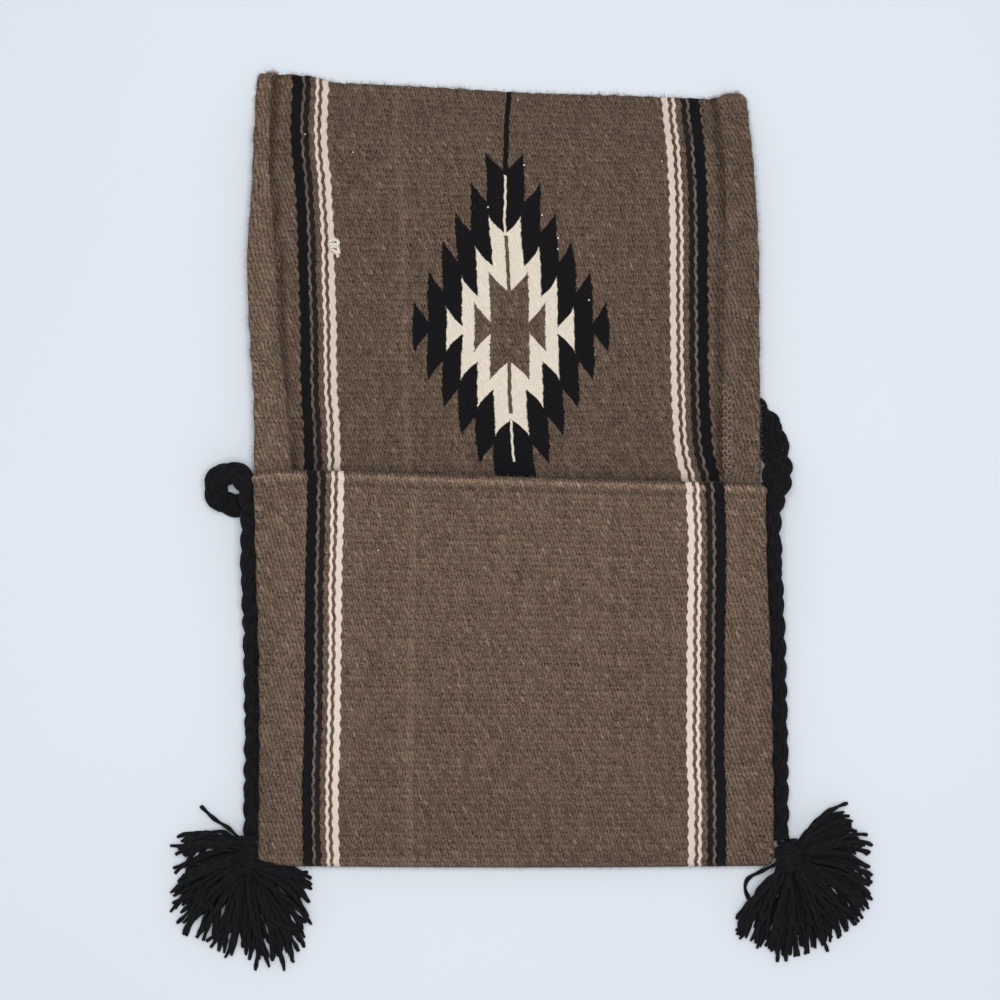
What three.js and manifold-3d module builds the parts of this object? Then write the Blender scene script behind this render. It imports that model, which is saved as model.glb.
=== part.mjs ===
// Hand-woven wool shoulder bag, lying on its back with its long flap open.
// Millimetres, +Z up. +Y runs from the tassels to the end of the flap, and the floor is z = 0.
// One woven strip makes the flap, the back and the front; a plait closes its sides and is the strap.
import * as THREE from 'three';
import { mergeVertices } from 'three/addons/utils/BufferGeometryUtils.js';
import Module from 'manifold-3d';

// Cloth strip
const HALF_WIDTH = 129; // from the middle to the side fold, at the bottom
const FLAP_END_HALF_WIDTH = 123.5;
const CLOTH = 2.2; // one layer of the weave
const HEM_WIDTH = 16.5; // what is turned in along each side
const HEM_SLIT = 0.3; // air under a turned hem
const PANEL_GAP = 0.8; // air between the hems of the front and of the back
const BOTTOM_Y = -173; // place of the bottom fold
const POCKET_HEIGHT = 194.5;
const FLAP_LENGTH = 197.2;
const LEAN = 0.0167; // the weaving drifts to the left as it rises
const MOUTH_SLOPE = -0.031; // the mouth falls towards the right
const FLAP_END_SLOPE = -0.0435;

// How the strip lies
const STRAP_ROOM = 6.6; // height of the cloth where the strap is folded away under it
const RAMP_TOP = 26.5; // the back leaves that height this far below the mouth
const RAMP_LENGTH = 75;
const FLAP_FALL = 32; // the flap comes down to the floor over its last stretch
const MOUTH_GAPE = 1.5; // extra air in the middle of the mouth
const CROWN_RISE = 45; // the front swells up over this length above the bottom fold
const CROWN_POWER = 6; // how square the swelling is across the front

// Rolled mouth edge
const ROLL_WIDTH = 8.5;
const ROLL_SWELL = 0.6;
const ROLL_GROOVE = 0.35;
const EDGE_ROUND = 1.2; // length over which a cut edge is rounded
const EDGE_PINCH = 0.5; // thickness left at a rounded edge, as a share

// Woven pattern, measured from the middle of the strip
const STRIPES = [
  { from: 85.7, to: 89.4, tone: 'cream' },
  { from: 90.6, to: 92.8, tone: 'cream' },
  { from: 95.7, to: 98.2, tone: 'black' },
  { from: 100.3, to: 105, tone: 'black' },
];
const CENTRE_LINE = 0.9; // half width of the single line in the middle of the flap
const DIAMOND_ABOVE_MOUTH = 75.5; // middle row of the diamond
const COLUMN_FIRST = 9.3; // half width of the middle pair of columns
const COLUMN_PITCH = 7.9;
const COLUMN_STEP = 14.6; // each column is this much shorter than the one inside it
const OUTER_TIP = 13; // reach of the outermost column above the middle row
const TOOTH = 10.5; // rise of the slanted end of a column
const FIELD_RELIEF = 0.3; // each woven field stands this proud of the one around it
const FIELD_ROOT = 0.4; // depth of a field's body in the cloth below it

// Plait
const BRAID_WIDTH = 7.6; // where it is sewn to the sides
const BRAID_HEIGHT = 9.2;
const BRAID_PITCH = 10;
const BRAID_SIDES = 10; // facets round the plait
const BRAID_BULGE = 0.55;
const BRAID_BELOW_MOUTH = 11.5; // the sewn length ends here
const STRAP_WIDTH = 11; // where it is free and lies flat
const STRAP_WIDENS = 16; // it spreads to that width over this length
const STRAP_HEIGHT = 6;
const CLEAR = 0.3; // air between pieces that touch

// Tassels
const KNOT_RADIUS = 6.9;
const KNOT_LENGTH = 20;
const KNOT_WRAPS = 5;
const KNOT_WRAP_DEPTH = 0.7;
const KNOT_TOP = 16; // height of the knot's top above the bottom fold
const SKIRT_OUT = 42; // reach of the strands away from the bag, down and up
const SKIRT_DOWN = 54.2;
const SKIRT_UP = 40;
const SKIRT_MIDDLE = 3; // the strands spread from this height above the bottom fold
// Where each tassel has fallen: its reach towards the bag, first and last direction in degrees
const SKIRTS = {
  left: { side: -1, inward: 31, from: -8, to: -188 },
  right: { side: 1, inward: 42, from: -52, to: -228 },
};
const SKIRT_ROOT = 5.5; // half width of the bunch at the knot
const SKIRT_LOBES = 20;
const SKIRT_NOTCH = 0.93; // reach between two bunches, as a share
const SKIRT_HEIGHTS = [13, 16, 14, 9.5, 5]; // from the knot to the tips
const SKIRT_VALLEY = 0.74; // height between two bunches, as a share

const TONES = {
  brown: new THREE.Color('#6e5f50'),
  black: new THREE.Color('#1d1c1e'),
  cream: new THREE.Color('#e4d7c8'),
};

const STACK = 4 * CLOTH + 2 * HEM_SLIT + PANEL_GAP; // four layers at the pocket's sides
const MOUTH_Y = BOTTOM_Y + POCKET_HEIGHT;
const FLAP_END_Y = MOUTH_Y + FLAP_LENGTH;
const RAMP_TOP_Y = MOUTH_Y - RAMP_TOP;
const RAMP_FOOT_Y = RAMP_TOP_Y - RAMP_LENGTH;
const FLAP_FACE = STRAP_ROOM + CLOTH; // height of the flap's visible face
const KNOT_X = HALF_WIDTH + CLEAR + KNOT_RADIUS;
const KNOT_FOOT_Y = BOTTOM_Y + KNOT_TOP - KNOT_LENGTH;

const wasm = await Module();
wasm.setup();

// Closed surfaces

function trianglesToGeometry(points, triangles) {
  const geometry = new THREE.BufferGeometry();
  geometry.setAttribute('position', new THREE.Float32BufferAttribute(points.flatMap((p) => p.toArray()), 3));
  geometry.setIndex(triangles.flat());
  if (signedVolume(points, triangles) < 0) {
    geometry.setIndex(triangles.flatMap(([a, b, c]) => [a, c, b]));
  }
  geometry.computeVertexNormals();
  return geometry;
}

function signedVolume(points, triangles) {
  const cross = new THREE.Vector3();
  return triangles.reduce((sum, [a, b, c]) => {
    cross.crossVectors(points[b], points[c]);
    return sum + points[a].dot(cross) / 6;
  }, 0);
}

// Skins rings of equal count and closes both ends with the flat section's own triangles.
function loft(rings, section) {
  const count = section.length;
  const triangles = [];
  for (let ring = 0; ring + 1 < rings.length; ring += 1) {
    for (let i = 0; i < count; i += 1) {
      const next = (i + 1) % count;
      const a = ring * count + i;
      const b = ring * count + next;
      triangles.push([a, b, b + count], [a, b + count, a + count]);
    }
  }
  const last = (rings.length - 1) * count;
  for (const [a, b, c] of THREE.ShapeUtils.triangulateShape(section, [])) {
    triangles.push([a, c, b], [last + a, last + b, last + c]);
  }
  return trianglesToGeometry(rings.flat(), triangles);
}

function toSolid(geometry) {
  const bare = new THREE.BufferGeometry();
  bare.setAttribute('position', geometry.getAttribute('position').clone());
  bare.setIndex(geometry.getIndex());
  const merged = mergeVertices(bare, 1e-4);
  const vertProperties = new Float32Array(merged.getAttribute('position').array);
  const triVerts = new Uint32Array(merged.getIndex().array);
  return new wasm.Manifold(new wasm.Mesh({ numProp: 3, vertProperties, triVerts }));
}

function toGeometry(solid) {
  const mesh = solid.getMesh();
  const geometry = new THREE.BufferGeometry();
  geometry.setAttribute('position', new THREE.BufferAttribute(mesh.vertProperties, 3));
  geometry.setIndex(new THREE.BufferAttribute(mesh.triVerts, 1));
  return geometry;
}

function addMesh(group, name, geometry, material) {
  const mesh = new THREE.Mesh(geometry, material);
  mesh.name = name;
  group.add(mesh);
  return mesh;
}

// How the strip lies

const smooth = (x) => THREE.MathUtils.smoothstep(x, 0, 1);
const drift = (y) => -LEAN * (y - BOTTOM_Y);

// The strip narrows a little from the bottom fold to the end of the flap.
function halfWidth(y) {
  const share = (y - BOTTOM_Y) / (FLAP_END_Y - BOTTOM_Y);
  return HALF_WIDTH - (HALF_WIDTH - FLAP_END_HALF_WIDTH) * share ** 2;
}

// Height of the back's underside: on the floor at the bottom, lifted by the strap further up.
function backHeight(y) {
  return STRAP_ROOM * smooth((y - RAMP_FOOT_Y) / RAMP_LENGTH);
}

function flapHeight(y) {
  return STRAP_ROOM * smooth((FLAP_END_Y - EDGE_ROUND - y) / (FLAP_FALL - EDGE_ROUND));
}

// How far the middle of the front stands above its sewn sides.
function frontCrown(y) {
  const swell = smooth((y - BOTTOM_Y - STACK / 2) / CROWN_RISE);
  return swell * (STRAP_ROOM - backHeight(y) + MOUTH_GAPE);
}

// Section across the strip: x across, n from the outer face to the inner face, hems on the inner face.
function stripSection() {
  const bend = CLOTH + HEM_SLIT / 2;
  const straight = HALF_WIDTH - bend;
  const hemTop = 2 * CLOTH + HEM_SLIT;
  const edges = STRIPES.flatMap(({ from, to }) => [from, to]);
  const half = [CENTRE_LINE, 30, 60, ...edges];
  const across = [...half.map((x) => -x).reverse(), ...half];
  const rightFold = [-45, 0, 45].map((degrees) => {
    const angle = THREE.MathUtils.degToRad(degrees);
    return [straight + bend * Math.cos(angle), bend + bend * Math.sin(angle)];
  });
  const rightHem = [
    [straight, hemTop],
    [HALF_WIDTH - HEM_WIDTH, hemTop],
    [HALF_WIDTH - HEM_WIDTH, CLOTH + HEM_SLIT],
    [straight, CLOTH + HEM_SLIT],
    [straight, CLOTH],
  ];
  const rightEdge = [[straight, 0], ...rightFold, ...rightHem];
  const leftEdge = rightEdge.map(([x, n]) => [-x, n]).reverse();
  const outer = across.map((x) => [x, 0]);
  const inner = across.map((x) => [x, CLOTH]).reverse();
  return [...outer, ...rightEdge, ...inner, ...leftEdge].map(([x, n]) => new THREE.Vector2(x, n));
}

// A station gives the outer face's place, how far its inner face has turned from facing up,
// and the local slope, width, swelling and thickness.
function station(y, z, options) {
  const width = halfWidth(y) / HALF_WIDTH;
  return { y, z, turn: 0, slope: 0, width, crown: 0, swell: 0, pinch: 1, ...options };
}

function flapStations() {
  const steps = 6;
  const stations = [];
  const lying = (y, z, pinch) => {
    const share = Math.max(0, (y - MOUTH_Y) / FLAP_LENGTH);
    return station(y, z, { slope: FLAP_END_SLOPE * share ** 3, pinch });
  };
  stations.push(lying(FLAP_END_Y, 0, EDGE_PINCH));
  for (let i = 0; i <= steps; i += 1) {
    const y = FLAP_END_Y - EDGE_ROUND - ((FLAP_FALL - EDGE_ROUND) * i) / steps;
    stations.push(lying(y, flapHeight(y), 1));
  }
  for (const share of [0.7, 0.55, 0.27, 0]) {
    stations.push(lying(MOUTH_Y + FLAP_LENGTH * share, STRAP_ROOM, 1));
  }
  return stations;
}

function backStations() {
  const steps = 6;
  const stations = [];
  for (let i = 0; i <= steps; i += 1) {
    const y = RAMP_TOP_Y - (RAMP_LENGTH * i) / steps;
    stations.push(station(y, backHeight(y)));
  }
  return stations;
}

function foldStations() {
  const steps = 6;
  const radius = STACK / 2;
  const stations = [];
  for (let i = 0; i <= steps; i += 1) {
    const turn = (Math.PI * i) / steps;
    const y = BOTTOM_Y + radius - radius * Math.sin(turn);
    stations.push(station(y, radius - radius * Math.cos(turn), { turn }));
  }
  return stations;
}

function frontStations() {
  const lying = (y, options) => {
    const slope = (MOUTH_SLOPE * (y - BOTTOM_Y)) / POCKET_HEIGHT;
    return station(y, backHeight(y) + STACK, { turn: Math.PI, slope, crown: frontCrown(y), ...options });
  };
  const foldEnd = BOTTOM_Y + STACK / 2;
  const rollStart = MOUTH_Y - ROLL_WIDTH;
  const steps = 9;
  const stations = [];
  for (let i = 1; i <= steps; i += 1) {
    stations.push(lying(foldEnd + ((rollStart - 2 * EDGE_ROUND - foldEnd) * i) / steps));
  }
  stations.push(lying(rollStart - EDGE_ROUND, { swell: -ROLL_GROOVE }));
  stations.push(lying(rollStart + EDGE_ROUND, { swell: ROLL_SWELL }));
  stations.push(lying(MOUTH_Y - EDGE_ROUND, { swell: ROLL_SWELL }));
  stations.push(lying(MOUTH_Y, { pinch: EDGE_PINCH }));
  return stations;
}

function stripRing(section, at) {
  return section.map(({ x, y: depth }) => {
    const thick = CLOTH / 2 + (depth - CLOTH / 2) * at.pinch;
    const n = depth === 0 ? thick - at.swell : thick;
    const y = at.y + n * Math.sin(at.turn) + at.slope * x;
    const crown = at.crown * (1 - Math.abs(x / HALF_WIDTH) ** CROWN_POWER);
    const z = at.z + n * Math.cos(at.turn) + crown;
    return new THREE.Vector3(x * at.width + drift(y), y, z);
  });
}

function clothStrip() {
  const section = stripSection();
  const stations = [...flapStations(), ...backStations(), ...foldStations(), ...frontStations()];
  return toSolid(loft(stations.map((at) => stripRing(section, at)), section));
}

// Serrated diamond: columns that get shorter outwards, each with slanted ends rising outwards.
function serratedDiamond(columns) {
  const quarter = [];
  for (let column = 0; column < columns; column += 1) {
    const inside = column === 0 ? 0 : COLUMN_FIRST + COLUMN_PITCH * (column - 1);
    const outside = COLUMN_FIRST + COLUMN_PITCH * column;
    const tip = OUTER_TIP + COLUMN_STEP * (columns - 1 - column);
    quarter.push([inside, tip - TOOTH], [outside, tip]);
  }
  const right = [...quarter, ...quarter.map(([x, y]) => [x, -y]).reverse()];
  const left = right.slice(1, -1).map(([x, y]) => [-x, y]).reverse();
  return new THREE.Shape([...right, ...left].map(([x, y]) => new THREE.Vector2(x, y)));
}

function lineAlongAxis(reach) {
  return new THREE.Shape([
    new THREE.Vector2(-CENTRE_LINE, -reach),
    new THREE.Vector2(CENTRE_LINE, -reach),
    new THREE.Vector2(CENTRE_LINE, reach),
    new THREE.Vector2(-CENTRE_LINE, reach),
  ]);
}

// A field of the pattern, level 1 lying on the cloth, level 2 on a level 1 field, and so on.
function wovenField(shape, level) {
  const depth = FIELD_ROOT + FIELD_RELIEF * level;
  const geometry = new THREE.ExtrudeGeometry(shape, { depth, bevelEnabled: false });
  geometry.translate(0, MOUTH_Y + DIAMOND_ABOVE_MOUTH, FLAP_FACE - FIELD_ROOT);
  const place = geometry.getAttribute('position');
  for (let i = 0; i < place.count; i += 1) {
    place.setX(i, place.getX(i) + drift(place.getY(i)));
  }
  return toSolid(geometry);
}

const notchOnAxis = (columns) => OUTER_TIP + COLUMN_STEP * (columns - 1) - TOOTH;

function wovenDiamond() {
  const black = wovenField(serratedDiamond(6), 1);
  const cream = wovenField(serratedDiamond(4), 2);
  const creamLine = wovenField(lineAlongAxis(notchOnAxis(6) - 2 * CENTRE_LINE), 2);
  const brown = wovenField(serratedDiamond(2), 3);
  const brownLine = wovenField(lineAlongAxis(notchOnAxis(4) - 2 * CENTRE_LINE), 3);
  return black.add(cream).add(creamLine).add(brown).add(brownLine);
}

// Colour of a spot of the strip, from its place.
function toneAt(spot) {
  const across = Math.abs(spot.x - drift(spot.y));
  const level = Math.round((spot.z - FLAP_FACE) / FIELD_RELIEF);
  const inDiamond = across < COLUMN_FIRST + COLUMN_PITCH * 5 && spot.y > MOUTH_Y - DIAMOND_ABOVE_MOUTH;
  if (inDiamond && level >= 1 && level <= 3) {
    return ['black', 'cream', 'brown'][level - 1];
  }
  const aboveDiamond = spot.y > MOUTH_Y + DIAMOND_ABOVE_MOUTH + notchOnAxis(6);
  if (aboveDiamond && across < CENTRE_LINE) {
    return 'black';
  }
  const stripe = STRIPES.find(({ from, to }) => across > from && across < to);
  return stripe ? stripe.tone : 'brown';
}

function paintCloth(solid) {
  const geometry = toGeometry(solid).toNonIndexed();
  const place = geometry.getAttribute('position');
  const colours = [];
  const corner = new THREE.Vector3();
  for (let first = 0; first < place.count; first += 3) {
    const middle = new THREE.Vector3();
    for (let i = first; i < first + 3; i += 1) {
      middle.addScaledVector(corner.fromBufferAttribute(place, i), 1 / 3);
    }
    const tone = TONES[toneAt(middle)].toArray();
    colours.push(...tone, ...tone, ...tone);
  }
  geometry.setAttribute('color', new THREE.Float32BufferAttribute(colours, 3));
  geometry.computeVertexNormals();
  return geometry;
}

function ovalSection(width, height) {
  const oval = new THREE.EllipseCurve(0, 0, width / 2, height / 2);
  return oval.getPoints(BRAID_SIDES).slice(0, -1);
}

// Plait sewn along a side: its outer edge swells at every strand that turns there.
function sideBraid(side) {
  const top = MOUTH_Y - BRAID_BELOW_MOUTH;
  const bottom = BOTTOM_Y + KNOT_TOP + CLEAR;
  const count = Math.round((top - bottom) / (BRAID_PITCH / 2));
  const section = ovalSection(BRAID_WIDTH, BRAID_HEIGHT);
  const rings = [];
  for (let step = 0; step <= count; step += 1) {
    const y = bottom + ((top - bottom) * step) / count;
    const bulge = step % 2 === 0 ? -BRAID_BULGE : BRAID_BULGE;
    const z = backHeight(y) + STACK / 2;
    const middle = halfWidth(y) + CLEAR + BRAID_WIDTH / 2;
    rings.push(section.map((spot) => {
      const outward = spot.x + (spot.x > 0 ? bulge : 0);
      return new THREE.Vector3(side * (middle + outward) + drift(y), y, z + spot.y);
    }));
  }
  return loft(rings, section);
}

// Free plait: a flat tube along points chosen by hand, given from the middle of the mouth.
// Its flat side stays level while it follows the route, and it spreads out as it leaves the seam.
function strapTube(points, steps) {
  const section = ovalSection(STRAP_WIDTH, STRAP_HEIGHT);
  const route = new THREE.CatmullRomCurve3(points.map(([x, y, z]) => new THREE.Vector3(x, MOUTH_Y + y, z)));
  const up = new THREE.Vector3(0, 0, 1);
  const rings = [];
  for (let step = 0; step <= steps; step += 1) {
    const middle = route.getPointAt(step / steps);
    const along = route.getTangentAt(step / steps);
    const sideways = new THREE.Vector3().crossVectors(along, up).normalize();
    const upward = new THREE.Vector3().crossVectors(sideways, along);
    const spread = smooth((route.getLength() * step) / steps / STRAP_WIDENS);
    const width = THREE.MathUtils.lerp(BRAID_WIDTH / STRAP_WIDTH, 1, spread);
    rings.push(section.map((spot) => middle.clone()
      .addScaledVector(sideways, spot.x * width)
      .addScaledVector(upward, spot.y)));
  }
  return loft(rings, section);
}

const BRAID_MIDDLE = STRAP_ROOM + STACK / 2; // height of the sewn plait at the mouth
const STRAP_LOW = STRAP_HEIGHT / 2 + 0.05; // height of the strap's middle on the floor

const CURL_ROUTE = [
  [-135, -10.8, BRAID_MIDDLE],
  [-135.6, -6, BRAID_MIDDLE],
  [-138.3, 0, 11.6],
  [-143.4, 2.6, 11.2],
  [-148.8, 0, 9.6],
  [-150.7, -6.2, 7.4],
  [-148.3, -11.9, 5.4],
  [-143, -14.1, 3.8],
  [-136, -14.1, STRAP_LOW],
  [-128, -14.1, STRAP_LOW],
];

const STRAP_ROUTE = [
  [128.8, -10.8, BRAID_MIDDLE],
  [129, -7, BRAID_MIDDLE],
  [130.2, -2, 10.6],
  [130.8, 4, 8.2],
  [130.2, 11, 5.2],
  [128.6, 18.5, STRAP_LOW],
  [125, 26.5, STRAP_LOW],
  [119.2, 33.5, STRAP_LOW],
  [110, 38.5, STRAP_LOW],
  [98, 40.5, STRAP_LOW],
  [70, 41, STRAP_LOW],
  [-10, 41, STRAP_LOW],
  [-60, 41, STRAP_LOW],
  [-79, 48.5, STRAP_LOW],
  [-87, 66.5, STRAP_LOW],
  [-79, 84.5, STRAP_LOW],
  [-60, 92, STRAP_LOW],
  [63, 92, STRAP_LOW],
  [82, 99.5, STRAP_LOW],
  [90, 117.5, STRAP_LOW],
  [82, 135.5, STRAP_LOW],
  [63, 143, STRAP_LOW],
  [-70, 143, STRAP_LOW],
  [-98, 133, STRAP_LOW],
  [-110, 107, STRAP_LOW],
  [-111, 70, STRAP_LOW],
  [-110, 30, STRAP_LOW],
  [-108, 8, STRAP_LOW],
  [-111, -7, STRAP_LOW],
  [-119, -14.1, STRAP_LOW],
  [-127.7, -14.1, STRAP_LOW],
];

// Wrapped end of the plait: a barrel of yarn turns.
function tasselKnot() {
  const stepsPerWrap = 2;
  const count = KNOT_WRAPS * stepsPerWrap;
  const profile = [new THREE.Vector2(0, 0)];
  for (let i = 0; i <= count; i += 1) {
    const share = i / count;
    const barrel = KNOT_RADIUS * (0.72 + 0.28 * Math.sin(Math.PI * share));
    const groove = i % stepsPerWrap === 0 ? KNOT_WRAP_DEPTH : 0;
    profile.push(new THREE.Vector2(barrel - groove, KNOT_LENGTH * share));
  }
  profile.push(new THREE.Vector2(0, KNOT_LENGTH));
  return new THREE.LatheGeometry(profile, 14);
}

// Strands of a tassel spread flat on the floor: bunches with hollows between them.
function tasselSkirt({ side, inward, from, to }) {
  const rootY = KNOT_FOOT_Y - CLEAR;
  const spreadY = BOTTOM_Y + SKIRT_MIDDLE;
  const count = 2 * SKIRT_LOBES;
  const rows = SKIRT_HEIGHTS.length;
  const top = [];
  const bottom = [];
  for (let i = 0; i <= count; i += 1) {
    const share = i / count;
    const hollow = i % 2 === 0;
    const angle = THREE.MathUtils.degToRad(THREE.MathUtils.lerp(from, to, share));
    const reach = hollow ? SKIRT_NOTCH : 1;
    const sideways = -Math.cos(angle) * reach;
    const upward = Math.sin(angle) * reach;
    const rimX = sideways * (sideways > 0 ? SKIRT_OUT : inward);
    const rimY = spreadY + upward * (upward > 0 ? SKIRT_UP : SKIRT_DOWN);
    const rootX = THREE.MathUtils.lerp(-SKIRT_ROOT, SKIRT_ROOT, share);
    for (let row = 0; row < rows; row += 1) {
      const out = row / (rows - 1);
      const x = side * (KNOT_X + THREE.MathUtils.lerp(rootX, rimX, out));
      const y = THREE.MathUtils.lerp(rootY, rimY, out);
      const z = SKIRT_HEIGHTS[row] * (hollow ? SKIRT_VALLEY : 1);
      top.push(new THREE.Vector3(x, y, z));
      bottom.push(new THREE.Vector3(x, y, 0));
    }
  }
  return closedSlab(top, bottom, rows);
}

// Closes a grid of points and the grid below it, given row by row, into one solid.
function closedSlab(top, bottom, rows) {
  const below = top.length;
  const lines = top.length / rows;
  const triangles = [];
  const quad = (a, b, c, d) => triangles.push([a, b, c], [a, c, d]);
  for (let line = 0; line + 1 < lines; line += 1) {
    for (let row = 0; row + 1 < rows; row += 1) {
      const a = line * rows + row;
      const b = a + rows;
      quad(a, a + 1, b + 1, b);
      quad(below + a, below + b, below + b + 1, below + a + 1);
    }
    const inner = line * rows;
    const outer = inner + rows - 1;
    quad(inner, inner + rows, below + inner + rows, below + inner);
    quad(outer, below + outer, below + outer + rows, outer + rows);
  }
  const last = (lines - 1) * rows;
  for (let row = 0; row + 1 < rows; row += 1) {
    quad(row, below + row, below + row + 1, row + 1);
    quad(last + row, last + row + 1, below + last + row + 1, below + last + row);
  }
  return trianglesToGeometry([...top, ...bottom], triangles);
}

const wool = (color) => new THREE.MeshStandardMaterial({ color, roughness: 0.95, metalness: 0 });

const bag = new THREE.Group();

const cloth = paintCloth(clothStrip().add(wovenDiamond()));
const patternedWool = new THREE.MeshStandardMaterial({ vertexColors: true, roughness: 0.95, metalness: 0 });
addMesh(bag, 'bag_cloth', cloth, patternedWool);
addMesh(bag, 'strap_free', strapTube(STRAP_ROUTE, 72), wool(TONES.black));
addMesh(bag, 'strap_curl', strapTube(CURL_ROUTE, 26), wool(TONES.black));

for (const [name, skirt] of Object.entries(SKIRTS)) {
  addMesh(bag, `side_braid_${name}`, sideBraid(skirt.side), wool(TONES.black));
  addMesh(bag, `tassel_skirt_${name}`, tasselSkirt(skirt), wool(TONES.black));
  const knot = addMesh(bag, `tassel_knot_${name}`, tasselKnot(), wool(TONES.black));
  knot.position.set(skirt.side * KNOT_X, KNOT_FOOT_Y, KNOT_RADIUS + CLEAR);
}

export default bag;
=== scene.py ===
# %% [markdown]
# # A hand-woven wool bag with a plaited strap and two tassels
# The bag lies on its back on a pale floor, with the flap open upwards. It is one strip of weft-faced
# wool cloth, folded into a pocket, and one long plait of black yarn that closes both sides, runs
# free as the strap and ends in a tassel at each bottom corner.
#
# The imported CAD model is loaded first, as the frame. The pieces below take the place of its solids,
# and small ones, such as stitches and loose fibres, are added to them. Sizes are written in
# millimetres, and MM turns them into Blender's metres.

# %% Load the frame
import math
from functools import partialmethod

import bpy
import numpy as np
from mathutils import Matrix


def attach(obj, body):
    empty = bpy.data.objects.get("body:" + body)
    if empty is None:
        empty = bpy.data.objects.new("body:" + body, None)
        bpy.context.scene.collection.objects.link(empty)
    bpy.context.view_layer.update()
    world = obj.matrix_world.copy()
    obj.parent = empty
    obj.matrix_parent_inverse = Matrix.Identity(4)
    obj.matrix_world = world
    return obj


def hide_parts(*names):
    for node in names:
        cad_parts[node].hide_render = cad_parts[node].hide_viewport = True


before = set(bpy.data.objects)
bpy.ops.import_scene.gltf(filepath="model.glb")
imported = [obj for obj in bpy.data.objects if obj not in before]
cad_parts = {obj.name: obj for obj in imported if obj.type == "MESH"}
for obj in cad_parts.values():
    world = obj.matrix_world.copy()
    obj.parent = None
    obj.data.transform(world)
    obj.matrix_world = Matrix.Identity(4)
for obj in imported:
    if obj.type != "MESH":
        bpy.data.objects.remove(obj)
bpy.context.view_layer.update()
MM = 0.001

# %% [markdown]
# ## Camera
# The photograph looks straight down, so the camera hangs above the bag with +Y up in the picture.
# A long lens from 1.6 m keeps the sides of the pocket upright. 1000 pixels cover 500 mm at the
# height of the cloth, which is what the size of the weave gives.

# %% Camera
VIEW_WIDTH = 500 * MM
VIEW_HEIGHT = 1.6
CLOTH_LEVEL = 0.01
VIEW_CENTRE = (-0.008, 0.010)
SENSOR = 36.0

bpy.ops.object.select_all(action="DESELECT")
bpy.ops.object.camera_add(location=(*VIEW_CENTRE, VIEW_HEIGHT), rotation=(0, 0, 0))
camera = bpy.context.object
camera.data.sensor_width = SENSOR
camera.data.lens = SENSOR * (VIEW_HEIGHT - CLOTH_LEVEL) / VIEW_WIDTH
bpy.context.scene.camera = camera
bpy.context.scene.view_settings.view_transform = "Standard"
print("Lens:", round(camera.data.lens, 1), "mm")

# %% [markdown]
# ## Nodes as sums
# A material here is a calculation: a place goes in, and a colour and a height come out. A wire is one
# node's output. Every sign and method of a wire adds one node and gives that node's output back, so
# the material can be written, and read, as plain sums.

# %% Wires
class Wire:
    """A node's output to calculate with."""

    def __init__(self, socket):
        self.socket = socket
        self.tree = socket.id_data

    def math(self, operation, *others):
        """One Math node, with this wire as its first value."""
        return wire(self.tree, "Math", self, *others, operation=operation)

    __add__ = partialmethod(math, "ADD")
    __sub__ = partialmethod(math, "SUBTRACT")
    __mul__ = partialmethod(math, "MULTIPLY")
    __truediv__ = partialmethod(math, "DIVIDE")
    __abs__ = partialmethod(math, "ABSOLUTE")
    most = partialmethod(math, "MAXIMUM")
    least = partialmethod(math, "MINIMUM")
    above = partialmethod(math, "GREATER_THAN")
    under = partialmethod(math, "LESS_THAN")
    power = partialmethod(math, "POWER")
    root = partialmethod(math, "SQRT")
    floor = partialmethod(math, "FLOOR")
    fract = partialmethod(math, "FRACT")
    sine = partialmethod(math, "SINE")
    cosine = partialmethod(math, "COSINE")

    def __rsub__(self, number):
        return wire(self.tree, "Math", number, self, operation="SUBTRACT")

    def ramp(self, low, high, start=0.0, end=1.0):
        """Goes from start to end while this goes from low to high, and no further."""
        return wire(self.tree, "MapRange", self, low, high, start, end)

    def parts(self):
        """The three values of a place."""
        return [Wire(socket) for socket in put(self.tree, "SeparateXYZ", self).outputs]


def fill(socket, value):
    """Links a socket to a wire, or gives it a value; None leaves it as it is."""
    if isinstance(value, Wire):
        value.tree.links.new(value.socket, socket)
    elif value is not None:
        socket.default_value = value


def put(tree, kind, *inputs, **options):
    """Adds a shader node, sets its options and fills its inputs in order."""
    made = tree.nodes.new("ShaderNode" + kind)
    for name, value in options.items():
        setattr(made, name, value)
    for socket, value in zip(made.inputs, inputs):
        fill(socket, value)
    return made


def wire(tree, kind, *inputs, out=0, **options):
    """Adds a shader node and gives one of its outputs."""
    return Wire(put(tree, kind, *inputs, **options).outputs[out])


def noise(place, scale, detail=2.0, roughness=0.5):
    """Soft noise round 0.5."""
    return wire(place.tree, "TexNoise", place, None, scale, detail, roughness, out="Fac")


print("Wires ready")

# %% Colours and materials
SPECULAR = 0.15


def colour(*levels):
    """A colour as a picture shows it, 0 to 255, in Blender's linear values."""
    shares = [level / 255 for level in levels]
    return (*[((s + 0.055) / 1.055) ** 2.4 if s > 0.04 else s / 12.92 for s in shares], 1.0)


def blend(tree, factor, first, second, mode="MIX"):
    """One Mix node's colour: the second over the first, by factor."""
    made = put(tree, "Mix", data_type="RGBA", blend_type=mode)
    for index, value in ((0, factor), (6, first), (7, second)):
        fill(made.inputs[index], value)
    return Wire(made.outputs[2])


def shaded(tree, tone, level):
    """A colour times a level."""
    return blend(tree, 1.0, tone, wire(tree, "CombineXYZ", level, level, level), "MULTIPLY")


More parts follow.
